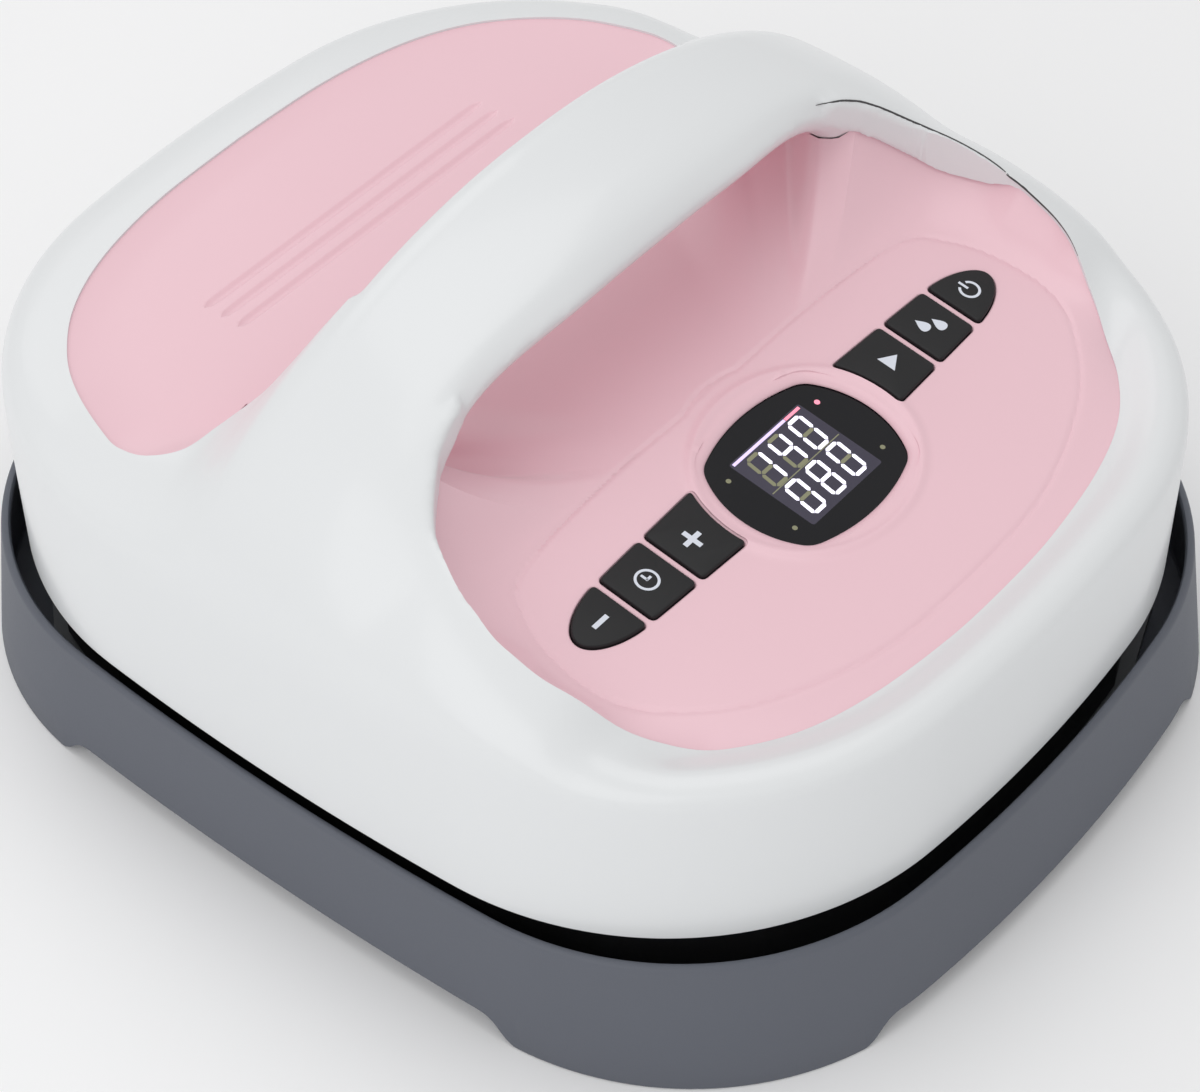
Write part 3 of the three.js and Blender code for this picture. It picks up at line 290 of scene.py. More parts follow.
def shell_body(name, drop, steps=256):
    rings = [plan_ring(grown(EDGE, -drop), EDGE_Z - (ROOM_BELOW if drop else SKIN_BELOW), steps),
             plan_ring(grown(SHOULDER, -drop), SHOULDER_Z, steps)]
    for share in np.cos(np.linspace(0.06, np.pi / 2 - 0.02, 44)):
        ring = plan_ring(grown(SHOULDER, -drop), 0, steps, share)
        ring[:, 2] = top_height(ring[:, 0], ring[:, 1], drop)
        rings.append(ring)
    return loft(name, rings)


print("height over the crest, mm:", float(top_height(0, 14).round(1)))

# %% [markdown]
# ## The handle
# The handle is a bar that arches from side to side. Its section changes along the
# way: a broad rounded nose in front, the shell's own surface on top and a steep heel
# behind. We draw that section with a few points, pass a smooth curve through them,
# and loft the sections along X. Below it lies the grip opening, a full arch.

# %% Handle bar
GRIP_HALF, GRIP_FLOOR, GRIP_RISE, GRIP_FULL = 96.0, 112.0, 48.0, 3.0
SLIDE = 0.35
HANDLE_REACH, HANDLE_DEPTH, HANDLE_WALL = 125.0, 24.0, 3.0
BAR_SEAM = 87.5


def catmull(points, per_piece):
    """Smooth open curve through points."""
    p = np.asarray(points, float)
    p = np.vstack([p[:1], p, p[-1:]])
    t = (np.arange(per_piece) / per_piece)[:, None]
    made = []
    for i in range(1, len(p) - 2):
        a, b, c, d = p[i - 1], p[i], p[i + 1], p[i + 2]
        bend = 2 * a - 5 * b + 4 * c - d + t * (3 * (b - c) + d - a)
        made.append(b + 0.5 * t * (c - a + t * bend))
    made.append(p[-1:])
    return np.concatenate(made)


def resample(points, count, closed=False):
    """The same line with count points at even distances."""
    p = np.vstack([points, points[:1]]) if closed else np.asarray(points)
    length = np.concatenate([[0], np.cumsum(np.linalg.norm(np.diff(p, axis=0), axis=1))])
    at = np.linspace(0, length[-1], count + 1)[:-1] if closed else np.linspace(0, length[-1], count)
    return np.stack([np.interp(at, length, p[:, k]) for k in range(p.shape[1])], 1)


def grip_top(x):
    share = np.minimum(1, np.abs(x) / GRIP_HALF)
    return GRIP_FLOOR + GRIP_RISE * (1 - share ** GRIP_FULL) ** (1 / GRIP_FULL)


def bar_section(x, grow, hollow):
    far = float(smoothstep(HANDLE_REACH * 0.25, HANDLE_REACH * 0.64, abs(x)))
    sink = 0.6 * float(smoothstep(BAR_SEAM, HANDLE_REACH, abs(x)))
    nose, nose_foot, heel = -27 + 4 * far - grow, -19.5 + 4 * far - grow, 24.5 + grow
    low = max(float(grip_top(x)) + SLIDE, float(top_height(x, 0)) - HANDLE_DEPTH)
    lift = -HANDLE_WALL - grow if hollow else 0.0
    bottom = low - HANDLE_DEPTH if hollow else low - grow

    def top(y):
        return float(top_height(x, y)) - sink + grow

    lip = nose_foot if hollow else nose_foot + 0.7 * (nose - nose_foot)
    line = [(lip, low + 3 + lift), (nose, min(low + 8 + grow + 2 * lift, top(nose) - 3))]
    line += [(nose * 0.9, top(nose * 0.9) - 1.5)]
    line += [(nose * s, top(nose * s)) for s in (0.75, 0.5, 0.2)]
    line += [(heel * s, top(heel * s)) for s in (0.1, 0.4, 0.62)]
    peak = top(heel * 0.62)
    line += [(heel * 0.84, peak - 2), (heel * 0.96, peak - 6), (heel, peak - 11)]
    smooth = np.concatenate([[[nose_foot, bottom]], catmull(line, 5),
                             [[heel - (0 if hollow else 1.5), bottom]]])
    return np.column_stack([np.full(len(smooth), x), smooth])[::-1]


def bar(name, grow, hollow):
    return loft(name, [bar_section(x, grow, hollow) for x in
                       np.linspace(-HANDLE_REACH, HANDLE_REACH, 101)])


print("points in one section of the bar:", len(bar_section(0, 0, False)))

# %% [markdown]
# ## Joining and softening
# A moulded part has no knife edges: every corner carries a radius, because the steel
# of the mould does. Beveling the edges of joined solids by hand is slow. Instead we
# join and cut closed solids, rebuild the result from small voxels, and let a short
# smoothing melt the edges. A radius of one to two millimetres appears by itself. Where
# an edge has to stay crisp, it is cut again afterwards.

# %% Solids to a soft moulding
def baked(obj):
    """Puts what the modifiers make into the mesh itself."""
    graph = bpy.context.evaluated_depsgraph_get()
    mesh = bpy.data.meshes.new_from_object(obj.evaluated_get(graph))
    obj.modifiers.clear()
    obj.data = mesh
    return obj


def cut(obj, *steps):
    for way, tool in steps:
        modifier = obj.modifiers.new("cut", "BOOLEAN")
        modifier.operation = way
        modifier.solver = "MANIFOLD"
        modifier.object = tool
        baked(obj)
        bpy.data.objects.remove(tool)
    return obj


def counterclockwise(outline):
    outline = np.asarray(outline, float)
    x, y = outline.T
    return outline[::-1] if np.sum(x * np.roll(y, -1) - y * np.roll(x, -1)) < 0 else outline


def prism(name, outline, low, high):
    outline = counterclockwise(outline)
    return loft(name, [np.column_stack([outline, np.full(len(outline), z)]) for z in (low, high)])


def block(low, high):
    (x0, y0, z0), (x1, y1, z1) = low, high
    return prism("tool", [(x0, y0), (x1, y0), (x1, y1), (x0, y1)], z0, z1)


def moulding(obj, voxel, passes):
    grid = obj.modifiers.new("grid", "REMESH")
    grid.mode = "VOXEL"
    grid.voxel_size = voxel * MM
    grid.use_smooth_shade = True
    melt = obj.modifiers.new("melt", "SMOOTH")
    melt.factor = 0.5
    melt.iterations = passes
    return baked(obj)


def crisp(obj, degrees=25):
    obj.data.shade_smooth()
    obj.data.set_sharp_from_angle(angle=math.radians(degrees))
    return obj


def placed(obj, body, nodes, slot, finish_name=None):
    """The piece rides on a body, stands for its solids and takes the finish named, or else the
    finish of its slot.
    """
    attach(obj, body)
    if nodes:
        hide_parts(*nodes)
    pieces_by_finish.setdefault(finish_name or slot, []).append(obj)
    return obj


pieces_by_finish = {}
SHELL_VOXEL, LINING_VOXEL = 1.2, 0.8
print("voxel of the shell, mm:", SHELL_VOXEL)

# %% [markdown]
# ## The white shell
# The front and rear openings are drawn for one half and mirrored. The body is hollowed
# before the bar joins it, so that the bar keeps its own front and rear walls, and the
# bar is hollowed last, from below. Near its feet the bar has no walls of its own: there
# the body's skin takes over, with a thin wedge of skin down to the pink rim. The openings
# are cut a little small at first, and cut to their true line after the softening.

# %% Openings and shell
FRONT_OPENING = [(0, -1), (0.192, -0.995), (0.442, -0.966), (0.633, -0.918), (0.775, -0.842),
                 (0.867, -0.757), (0.925, -0.69), (0.983, -0.589), (1, -0.507), (0.995, -0.377),
                 (0.942, -0.271), (0.883, -0.217), (0.81, -0.177), (0.79, -0.168)]
REAR_OPENING = [(0, 1), (0.295, 0.99), (0.541, 0.95), (0.721, 0.883), (0.852, 0.787),
                (0.934, 0.681), (0.992, 0.553), (1, 0.496), (0.984, 0.44), (0.934, 0.376),
                (0.861, 0.347), (0.8, 0.335)]
OPEN_HALF, OPEN_REACH = 120.0, 146.0
REAR_HALF, REAR_REACH = 122.0, 141.0
SIDE_TURN, SPLIT_Y = -20.0, 18.0
GRIP_EDGE = GRIP_HALF - 1.5
SPARE, WEDGE, WEDGE_END, HEEL_END = 2.5, 1.5, -67.5, 24.8
CUT_LOW, CUT_HIGH = 40, 190
SKIN_FADE, CRISP_END = (-46, -33), -33.5
CORD_RADIUS, CORD_Z = 8.35, 74.0


def mirrored(half, steps):
    right_side = resample(catmull(half, 24), steps)
    return np.concatenate([(right_side[1:] * (-1, 1))[::-1], right_side])


front_half = np.array(FRONT_OPENING) * (OPEN_HALF, OPEN_REACH)
rear_half = np.array(REAR_OPENING) * (REAR_HALF, REAR_REACH)
OPEN_END, REAR_TURN = front_half[-1][1], rear_half[-1][1]


def normals(points):
    """Outward normals of a closed outline that runs counterclockwise."""
    along = np.roll(points, -1, 0) - np.roll(points, 1, 0)
    along /= np.linalg.norm(along, axis=1)[:, None]
    return np.stack([along[:, 1], -along[:, 0]], 1)


def front_plan(side_x, back_y, steps=120):
    behind = [(side_x, SIDE_TURN), (side_x, back_y), (-side_x, back_y), (-side_x, SIDE_TURN)]
    return np.concatenate([mirrored(front_half, steps), behind])


def rear_plan(side_x, front_y, steps=110):
    before = [(-side_x, REAR_TURN), (-side_x, front_y), (side_x, front_y), (side_x, REAR_TURN)]
    return np.concatenate([mirrored(rear_half, steps)[::-1], before])


def kept_back(outline, near, far):
    """The outline drawn in by the spare width, fading to nothing between two values of y."""
    inward = SPARE * (1 - smoothstep(near, far, outline[:, 1]))
    return outline - inward[:, None] * normals(outline)


def turned(obj, *quarters):
    """Turns a mesh about an axis by quarter turns, in its own vertices."""
    for axis, count in quarters:
        obj.data.transform(Matrix.Rotation(count * math.pi / 2, 4, axis))
    return obj


RIM_DROP = [(-146, 0.6), (-68.5, 0.6), (-64, 2.8), (-59, 6), (-52, 9.4), (-46, 11.3),
            (-41, 12.3), (-31, 12.5), (-28.2, 12.2), (-25.9, 11.6), (-24.5, 11.4), (0, 11.4)]


def deck_rim(x, y):
    """Where the pink rim lies below the shell: almost flush, but low at the feet of the handle."""
    return top_height(x, y) - table_at(RIM_DROP, y)


WEDGE_TAIL = [(92.5, -23.9), (89.5, -23.2), (86, -22.6), (82, -22.2)]
WEDGE_ROOT, WEDGE_SPARE = 1.4, 1.2


def wedge_width(y):
    return WEDGE * smoothstep(-68, -56, y)


def foot_wedge(sign):
    """The strip of skin between the pink rim and the shell's surface, at one foot."""
    path = resample(catmull(front_half, 24), 500)
    path = path[(path[:, 0] > GRIP_HALF - 1.2) & (path[:, 1] > WEDGE_END - 2)]
    path = np.concatenate([path, WEDGE_TAIL])
    along = np.gradient(path, axis=0)
    along /= np.linalg.norm(along, axis=1)[:, None]
    inward = np.stack([-along[:, 1], along[:, 0]], 1)
    thick = wedge_width(path[:, 1]) + WEDGE_SPARE * (1 - smoothstep(*SKIN_FADE, path[:, 1]))
    inner, outer = path + thick[:, None] * inward, path - WEDGE_ROOT * inward
    foot = deck_rim(path[:, 0], path[:, 1]) - 0.8 + 2.2 * smoothstep(-91, -82, -path[:, 0])
    rings = []
    for a, b, z in zip(inner, outer, foot):
        top_a, top_b = (float(top_height(*q)) - 0.5 for q in (a, b))
        corners = ((a, z), (a, top_a), (b, top_b), (b, z))
        ring = np.array([(sign * q[0], q[1], h) for q, h in corners])
        rings.append(ring if sign < 0 else ring[::-1])
    return loft("tool", rings)


side_block = block((-GRIP_HALF + SLIDE, -140, CUT_LOW), (GRIP_HALF - SLIDE, 140, CUT_HIGH))
foot_room = cut(shell_body("tool", SHELL_WALL), ("DIFFERENCE", side_block))
handle = cut(bar("tool", 0, False), ("DIFFERENCE", foot_room))
circle = np.arange(48) * 2 * np.pi / 48
cord_ring = np.stack([np.cos(circle), np.sin(circle)], 1) * CORD_RADIUS
cord_hole = turned(prism("tool", cord_ring, -190, -140), ("X", 1))
cord_hole.data.transform(Matrix.Translation((0, 0, CORD_Z * MM)))
front_rough = kept_back(mirrored(front_half, 120), *SKIN_FADE)
rear_rough = rear_plan(GRIP_HALF - 24, SPLIT_Y)
curved = rear_rough[:, 1] > REAR_TURN - 0.1
rear_rough = np.where(curved[:, None], rear_rough - SPARE * normals(rear_rough), rear_rough)
shell = cut(shell_body("upper_shell_skin", 0),
            ("DIFFERENCE", prism("tool", front_rough, CUT_LOW, CUT_HIGH)),
            ("DIFFERENCE", prism("tool", rear_rough, CUT_LOW, CUT_HIGH)),
            ("DIFFERENCE", block((-BAR_SEAM, OPEN_END - 4, CUT_LOW),
                                 (BAR_SEAM, SPLIT_Y + 4, CUT_HIGH))),
            ("DIFFERENCE", shell_body("tool", SHELL_WALL)),
            ("UNION", handle),
            ("DIFFERENCE", bar("tool", -HANDLE_WALL, True)),
            ("UNION", foot_wedge(1)), ("UNION", foot_wedge(-1)))
print("joined shell:", len(shell.data.polygons), "faces")
moulding(shell, SHELL_VOXEL, passes=7)
front_edge = mirrored(front_half, 240)
front_edge = front_edge - wedge_width(front_edge[:, 1])[:, None] * normals(front_edge)
front_edge = front_edge[front_edge[:, 1] < CRISP_END]
FILLET = [(105, 48.9), (99.4, 45.6), (95.2, 40.4), (91.8, 35), (88, 30.4), (83, 27.4),
          (77, 25.6), (70, HEEL_END)]
rear_edge = mirrored(np.concatenate([rear_half[:-2], FILLET]), 260)
cut(shell, ("DIFFERENCE", prism("tool", front_edge, CUT_LOW, CUT_HIGH)),
    ("DIFFERENCE", prism("tool", rear_edge, CUT_LOW, CUT_HIGH)),
    ("DIFFERENCE", block((-190, -200, 30), (190, 200, EDGE_Z))),
    ("DIFFERENCE", cord_hole))
crisp(shell, 38)
print("soft shell:", len(shell.data.polygons), "faces")
placed(shell, "press", ["upper_shell", "foot_lining_right", "foot_lining_left"], "shell_white")

# %% [markdown]
# ## The seam at the foot of the handle
# The handle's lower half meets the shell in a thin dark line. It begins on the nose of
# the bar, runs over the foot and ends where the pink rim has climbed to the edge. Such
# a shadow gap is too narrow for the voxels, so we lay a fine dark cord along it, found
# on the surface itself and sunk by half. The picture shows the line on the right foot
# only, so it is laid there.

# %% Dark seam line
SEAM_START = [(78.7, -22.5), (82, -22.7), (85.5, -23), (89, -23.5), (92, -24.1)]
SEAM_END = -96.0
SEAM_POINTS, SEAM_RADIUS = 110, 0.32


def on_shell(points):
    """Moves points onto the soft shell, along the way to the nearest place."""
    found = []
    for x, y, z in points:
        _, place, out, _ = shell.closest_point_on_mesh(Vector((x, y, z)) * MM)
        found.append((np.array(place) / MM, np.array(out)))
    return found


def seam_line(name):
    edge = catmull(front_half, 24)[::-1]
    edge = edge[(edge[:, 1] < OPEN_END - 0.5) & (edge[:, 1] > SEAM_END)]
    plan = resample(catmull(np.concatenate([SEAM_START, edge[::6]]), 6), SEAM_POINTS)
    along = np.gradient(plan, axis=0)
    along /= np.linalg.norm(along, axis=1)[:, None]
    plan = plan + 0.3 * np.stack([along[:, 1], -along[:, 0]], 1)
    height = top_height(plan[:, 0], plan[:, 1]) - 0.55
    found = on_shell(np.column_stack([plan, height]))
    middle = np.array([p for p, _ in found])
    for _ in range(3):
        middle[1:-1] = (middle[:-2] + middle[1:-1] + middle[2:]) / 3
    along = np.gradient(middle, axis=0)
    along /= np.linalg.norm(along, axis=1)[:, None]
    angle = np.arange(8) * np.pi / 4
    rings = []
    for k, (p, t, (_, out)) in enumerate(zip(middle, along, found)):
        side = np.cross(t, out)
        side /= np.linalg.norm(side)
        lift = np.cross(side, t)
        radius = SEAM_RADIUS * min(1, 0.25 + k / 12, 0.25 + (SEAM_POINTS - 1 - k) / 30)
        round_it = np.outer(np.cos(angle), side) + np.outer(np.sin(angle), lift)
        rings.append(p + radius * round_it)
    return loft(name, rings)


placed(seam_line("seam_right"), "press", [], "skirt_black", "seam_dark")
print("seam line on the right foot")

# %% [markdown]
# ## The lining of the grip
# Under the bar a second moulding closes the hollow and gives the fingers a round edge.
# It is a band of constant thickness that follows the arch of the opening and runs down
# inside both feet. We keep only what fits in the room that the shell leaves for it.
# In the picture the inside of the right foot is pink, so the band takes the deck's pink.

# %% Lining of the grip
def grip_profile(by, foot):
    angle = np.linspace(0, np.pi, 121)
    c, s = np.cos(angle), np.maximum(np.sin(angle), 0)
    x = np.sign(c) * np.abs(c) ** (2 / GRIP_FULL) * (GRIP_HALF + by)
    z = GRIP_FLOOR + s ** (2 / GRIP_FULL) * (GRIP_RISE + by)
    ends = [(GRIP_HALF + by, foot)], [(-GRIP_HALF - by, foot)]
    return np.concatenate([ends[0], np.stack([x, z], 1), ends[1]])


def grip_solid(by, foot, y0, y1):
    """The arch as a solid from y0 to y1, made flat and then stood up."""
    return turned(prism("tool", grip_profile(by, foot), -y1, -y0), ("X", 1))


LINING_WALL = 2.5
inside_feet = block((-96, -71, 50), (96, 71, 183))
lining_room = cut(shell_body("tool", SHELL_WALL + SLIDE), ("DIFFERENCE", inside_feet),
                  ("UNION", bar("tool", -HANDLE_WALL - SLIDE, True)))
lining = grip_solid(LINING_WALL, 106, OPEN_END + 0.7, REAR_TURN - 0.7)
lining.name = "grip_lining"
cut(lining, ("DIFFERENCE", grip_solid(0, 102, -80, 80)), ("INTERSECT", lining_room))
moulding(lining, LINING_VOXEL, passes=4)
placed(lining, "press", ["handle_cover"], "deck_pink")
print("lining:", len(lining.data.polygons), "faces")

# %% [markdown]
# ## The front deck
# The deck is a skin over a plan that can be seen whole from one point inside it. Every
# ray from that point starts on the tilted flat panel, passes a soft crease and then
# climbs like a bowl to the rim, which follows the shell. Near the handle the rim drops,
# because there a white strip stands between pink and shell. Knowing the two ends of
# each ray, one formula gives all heights. A shallow line marks the crease, as the
# real panel has, and a low ring swells around the lens.

# %% Front deck skin
PANEL_TILT = math.radians(9.48)
ROW_Y, ROW_Z = -73.803, 113.2
SLOPE = math.tan(PANEL_TILT)
GRIP_RIM = 130.0
DECK_WALL, RIM_LAP = 2.6, 0.7
LINE_DEPTH, LINE_WIDTH = 0.42, 0.8
RING_HEIGHT, RING_REACH, RING_WIDTH = 0.8, 36.5, 1.8
CREASE = [(0, -0.931), (0.31, -0.916), (0.617, -0.832), (0.8, -0.72), (0.872, -0.62),
          (0.872, -0.5), (0.83, -0.4), (0.733, -0.325), (0.4, -0.3), (0.1, -0.3)]


def even_outline(points, spacing):
    points = counterclockwise(points)
    around = np.sum(np.linalg.norm(np.roll(points, -1, 0) - points, axis=1))
    return resample(points, int(round(around / spacing)), closed=True)


def foot_side(x):
    return smoothstep(GRIP_EDGE * 0.55, GRIP_EDGE * 0.96, np.abs(x))


def deck(name, outline, middle, levels, height):
    edge = even_outline(outline, 1.4)
    split = (np.abs(edge[:, 1] - SPLIT_Y) < 1)[:, None]
    edge = edge + np.where(split, -SLIDE, RIM_LAP) * normals(edge)

    def ring(share, drop):
        at = middle + share * (edge - middle)
        return np.column_stack([at, height(at, share, edge) - drop])

    below = [ring(s, DECK_WALL) for s in levels[::4]] + [ring(1, DECK_WALL)]
    return loft(name, below + [ring(s, 0) for s in levels[::-1]])


panel_middle = np.array([0, ROW_Y])
crease_line = mirrored(np.array(CREASE) * (OPEN_HALF, OPEN_REACH), 120)
crease_angle = np.arctan2(crease_line[:, 1] - ROW_Y, crease_line[:, 0])
crease_reach = np.hypot(crease_line[:, 0], crease_line[:, 1] - ROW_Y)
turn_order = np.argsort(crease_angle)
FLOOR_TOP = ROW_Z + SLOPE * (-0.3 * OPEN_REACH - ROW_Y)


def front_height(at, share, edge):
    toward = edge - panel_middle
    angle = np.arctan2(toward[:, 1], toward[:, 0])
    whole = np.linalg.norm(toward, axis=1)
    crease = np.interp(angle, crease_angle[turn_order], crease_reach[turn_order],
                       period=2 * np.pi)
    start = crease / whole
    floor_z = np.minimum(ROW_Z + SLOPE * (at[:, 1] - ROW_Y), FLOOR_TOP)
    climb = np.clip((share - start) / (1 - start), 0, 1)
    under = smoothstep(SIDE_TURN + 8, SIDE_TURN + 22, edge[:, 1])
    low = floor_z + (GRIP_RIM - floor_z) * foot_side(edge[:, 0])
    rim = deck_rim(edge[:, 0], edge[:, 1]) * (1 - under) + under * low
    line = LINE_DEPTH * np.exp(-(((share - start) * whole) / LINE_WIDTH) ** 2)
    from_lens = np.hypot(at[:, 0], (at[:, 1] - LENS_Y) * 1.2)
    swell = RING_HEIGHT * np.exp(-((from_lens - RING_REACH) / RING_WIDTH) ** 2)
    return floor_z + (rim - floor_z) * (0.12 * climb + 0.88 * climb ** 2) - line + swell


LENS_Y = ROW_Y - 5
front_levels = np.concatenate([[0.02, 0.15], np.linspace(0.22, 1, 110)])
front_deck = deck("front_deck_skin", front_plan(GRIP_EDGE, SPLIT_Y), panel_middle,
                  front_levels, front_height)
print("front deck:", len(front_deck.data.polygons), "faces")

# %% [markdown]
# ## Cuts in the panel
# The holes are drawn in the panel's own frame, with u along the row, v up the panel and
# w out of it, and then tilted into place. Each button hole is a little larger than its
# cap and flares at the surface. The pocket of the lens has a soft bevel all round, with
# a ledge below it that the lens lies against.

# %% Button outlines and panel cuts
ROW_END, OUTER_SPLIT, INNER_SPLIT, BAR_WIDTH = 96.3, 76.8, 56.2, 2.7
EYE, DISPLAY_V = 37.0, -5.0
BUTTONS = {"button_minus": -3, "button_set": -2, "button_plus": -1,
           "button_start": 1, "button_mode": 2, "button_power": 3}
BUTTON_U = {1: 46.6, 2: 66.5, 3: 86.55}


def on_panel(points):
    u, v, w = np.asarray(points, float).T
    c, s = math.cos(PANEL_TILT), math.sin(PANEL_TILT)
    return np.stack([u, ROW_Y + v * c - w * s, ROW_Z + v * s + w * c], 1)


def row_half(u):
    flat = 11.4 - (1560 - np.sqrt(1560 ** 2 - u * u))
    radius = ROW_END - OUTER_SPLIT - BAR_WIDTH / 2
    into = np.maximum(u - (ROW_END - radius), 0) / radius
    return flat * np.sqrt(np.maximum(0, 1 - into ** 2))


def softened(points, spacing, window):
    """An even outline whose corners are rounded by a running mean."""
    even = even_outline(points, spacing)
    return sum(np.roll(even, k, 0) for k in range(-window, window + 1)) / (2 * window + 1)


def button_outline(place):
    number = abs(place)
    half_bar = BAR_WIDTH / 2
    if number == 1:
        v = np.linspace(-11.2, 11.2, 25)
        u = np.sqrt(EYE ** 2 - (v - DISPLAY_V) ** 2)
        end = INNER_SPLIT - half_bar
        points = list(zip(u, v)) + [(end, row_half(end)), (end, -row_half(end))]
    else:
        middle_cap = (INNER_SPLIT + half_bar, OUTER_SPLIT - half_bar)
        u0, u1 = middle_cap if number == 2 else (OUTER_SPLIT + half_bar, ROW_END)
        t = np.sin(np.linspace(0, np.pi / 2, 40)) if number == 3 else np.linspace(0, 1, 9)
        u = u0 + (u1 - u0) * t
        points = list(zip(u, -row_half(u))) + list(zip(u[::-1], row_half(u[::-1])))
    points = softened(points, 0.35, 4)
    return points if place > 0 else (points * (-1, 1))[::-1]


def panel_loft(name, outline, profile):
    """Rings of an outline, grown by g at height w, for each pair in the profile."""
    out = normals(outline)
    rings = []
    for g, w in profile:
        grown_outline = outline + g * out
        rings.append(on_panel(np.column_stack([grown_outline, np.full(len(outline), w)])))
    return loft(name, rings)


lens_reach = rounded_plan(30, 24, 31, 62, 9)
lens_outline = plan_ring(lens_reach, 0, 160)[:, :2] + (0, DISPLAY_V)
hole_profile = [(0.3, -6), (0.3, -0.75), (0.36, -0.4), (0.55, -0.12), (0.95, 0.08), (1.0, 3)]
lens_room = [(1.85, -8), (1.85, -1.9)]
lens_bevel = [(0, -7), (0, -1.7), (0.15, -1.35), (0.6, -0.85), (1.4, -0.35), (2.3, -0.05),
              (3.0, 0.12), (3.1, 3)]
for place in BUTTONS.values():
    cut(front_deck, ("DIFFERENCE", panel_loft("tool", button_outline(place), hole_profile)))
cut(front_deck,
    ("DIFFERENCE", panel_loft("tool", lens_outline, lens_room)),
    ("DIFFERENCE", panel_loft("tool", lens_outline, lens_bevel)),
    ("DIFFERENCE", bar("tool", SLIDE, False)))
placed(crisp(front_deck), "press", ["front_deck"], "deck_pink")
print("front deck with its cuts:", len(front_deck.data.polygons), "faces")

# %% [markdown]
# ## The rear deck
# Behind the handle lies a second pink skin, nearly flat, that climbs to the shell only
# over its last fifth. Three long grooves are pressed into it. Each is cut by a slender
# spindle, a rod whose radius shrinks at both ends, so that it fades out softly.

# %% Rear deck with its grooves
REAR_Z = 116.6
GROOVE_HALF, GROOVE_WIDE, GROOVE_DEEP, GROOVE_Y, GROOVE_PITCH = 62.6, 2.3, 1.0, 89.2, 6.75
rear_middle = np.array([0, (REAR_REACH + SPLIT_Y) / 2])


def rear_height(at, share, edge):
    along = smoothstep(REAR_TURN - 4, REAR_TURN - 0.5, edge[:, 1])
    low = REAR_Z + (GRIP_RIM - REAR_Z) * foot_side(edge[:, 0])
    rim = low * (1 - along) + along * (top_height(edge[:, 0], edge[:, 1]) - 0.6)
    climb = np.clip((share - 0.8) / 0.2, 0, 1)
    return REAR_Z + (rim - REAR_Z) * climb ** 2


rear_levels = np.concatenate([[0.02], np.linspace(0.06, 1, 76)])
rear_deck = deck("rear_deck_skin", rear_plan(GRIP_EDGE, SPLIT_Y + 0.3), rear_middle,
                 rear_levels, rear_height)


def groove_tool(half_length, half_width, depth, middle):
    """A rod with a soft, bell-shaped lower side whose ends fade out."""
    t = np.linspace(-1, 1, 17)
    y, z = half_width * t, -depth * 0.5 * (1 + np.cos(np.pi * t))
    rings = []
    for at in np.linspace(-half_length, half_length, 61):
        fade = math.sqrt(max(0.01, 1 - abs(at / half_length) ** 24))
        bell = np.stack([np.full(17, at), y * fade, z * fade], 1)
        ring = np.concatenate([bell, [(at, y[-1] * fade, 1), (at, y[0] * fade, 1)]]) + middle
        rings.append(ring)
    return loft("tool", rings)


for row in (-1, 0, 1):
    at = (0, GROOVE_Y + GROOVE_PITCH * row, REAR_Z + 0.03)
    cut(rear_deck, ("DIFFERENCE", groove_tool(GROOVE_HALF, GROOVE_WIDE, GROOVE_DEEP, at)))
cut(rear_deck, ("DIFFERENCE", bar("tool", SLIDE, False)))
placed(crisp(rear_deck), "press", ["rear_deck"], "deck_pink")
print("rear deck:", len(rear_deck.data.polygons), "faces")

# %% [markdown]
# ## Buttons
# A button cap is its outline lofted upwards: straight walls, then a small radius, then
# a flat top that stands a little proud of the panel. A flange below the panel keeps it
# from falling out. The six outlines differ, but one profile serves all of them.

# %% Button caps
CAP_TOP = 0.9
cap_profile = [(0.8, -3.9), (0.8, -2.92), (0, -2.9), (0, 0.42), (-0.05, 0.6), (-0.17, 0.76),
               (-0.35, 0.87), (-0.55, CAP_TOP)]
for name, place in BUTTONS.items():
    cap = crisp(panel_loft(name + "_cap", button_outline(place), cap_profile), 40)
    placed(cap, name, [name], "button_black")
print("caps:", len(BUTTONS))

# %% [markdown]
# ## Signs on the buttons
# The signs are printed ink, so each is a plate only a few hundredths of a millimetre
# thick, lying on its cap and moving with it. They are generic marks: minus, a timer,
# plus, play, two drops for heat and moisture, and the ring and bar of a power switch.

# %% Printed signs
def flat_shapes(name, shapes, low, high):
    """Several flat shapes in the panel's frame, joined into one thin mesh."""
    points, faces = [], []
    for shape in shapes:
        shape = counterclockwise(shape)
        n, start = len(shape), len(points)
        for w in (low, high):
            points += list(on_panel(np.column_stack([shape, np.full(n, w)])) * MM)
        faces.append([start + n + i for i in range(n)])
        faces.append([start + i for i in reversed(range(n))])
        faces += [[start + i, start + (i + 1) % n, start + n + (i + 1) % n, start + n + i]
                  for i in range(n)]
    return mesh_object(name, points, faces)


def stroke(a, b, width):
    a, b = np.array(a, float), np.array(b, float)
    along = (b - a) / np.linalg.norm(b - a)
    side = np.array([-along[1], along[0]]) * width / 2
    return [a - side, b - side, b + side, a + side]


def arc_band(radius, width, start, end, steps=40):
    angle = np.radians(np.linspace(start, end, steps))
    ray = np.stack([np.cos(angle), np.sin(angle)], 1)
    return np.concatenate([ray * (radius + width / 2), (ray * (radius - width / 2))[::-1]])


def drop(middle, size):
    angle = np.linspace(0, 2 * np.pi, 40, endpoint=False)
    x = size * np.sin(angle) * np.sin(angle / 2) ** 1.6
    return np.stack([x, size * np.cos(angle)], 1) + middle


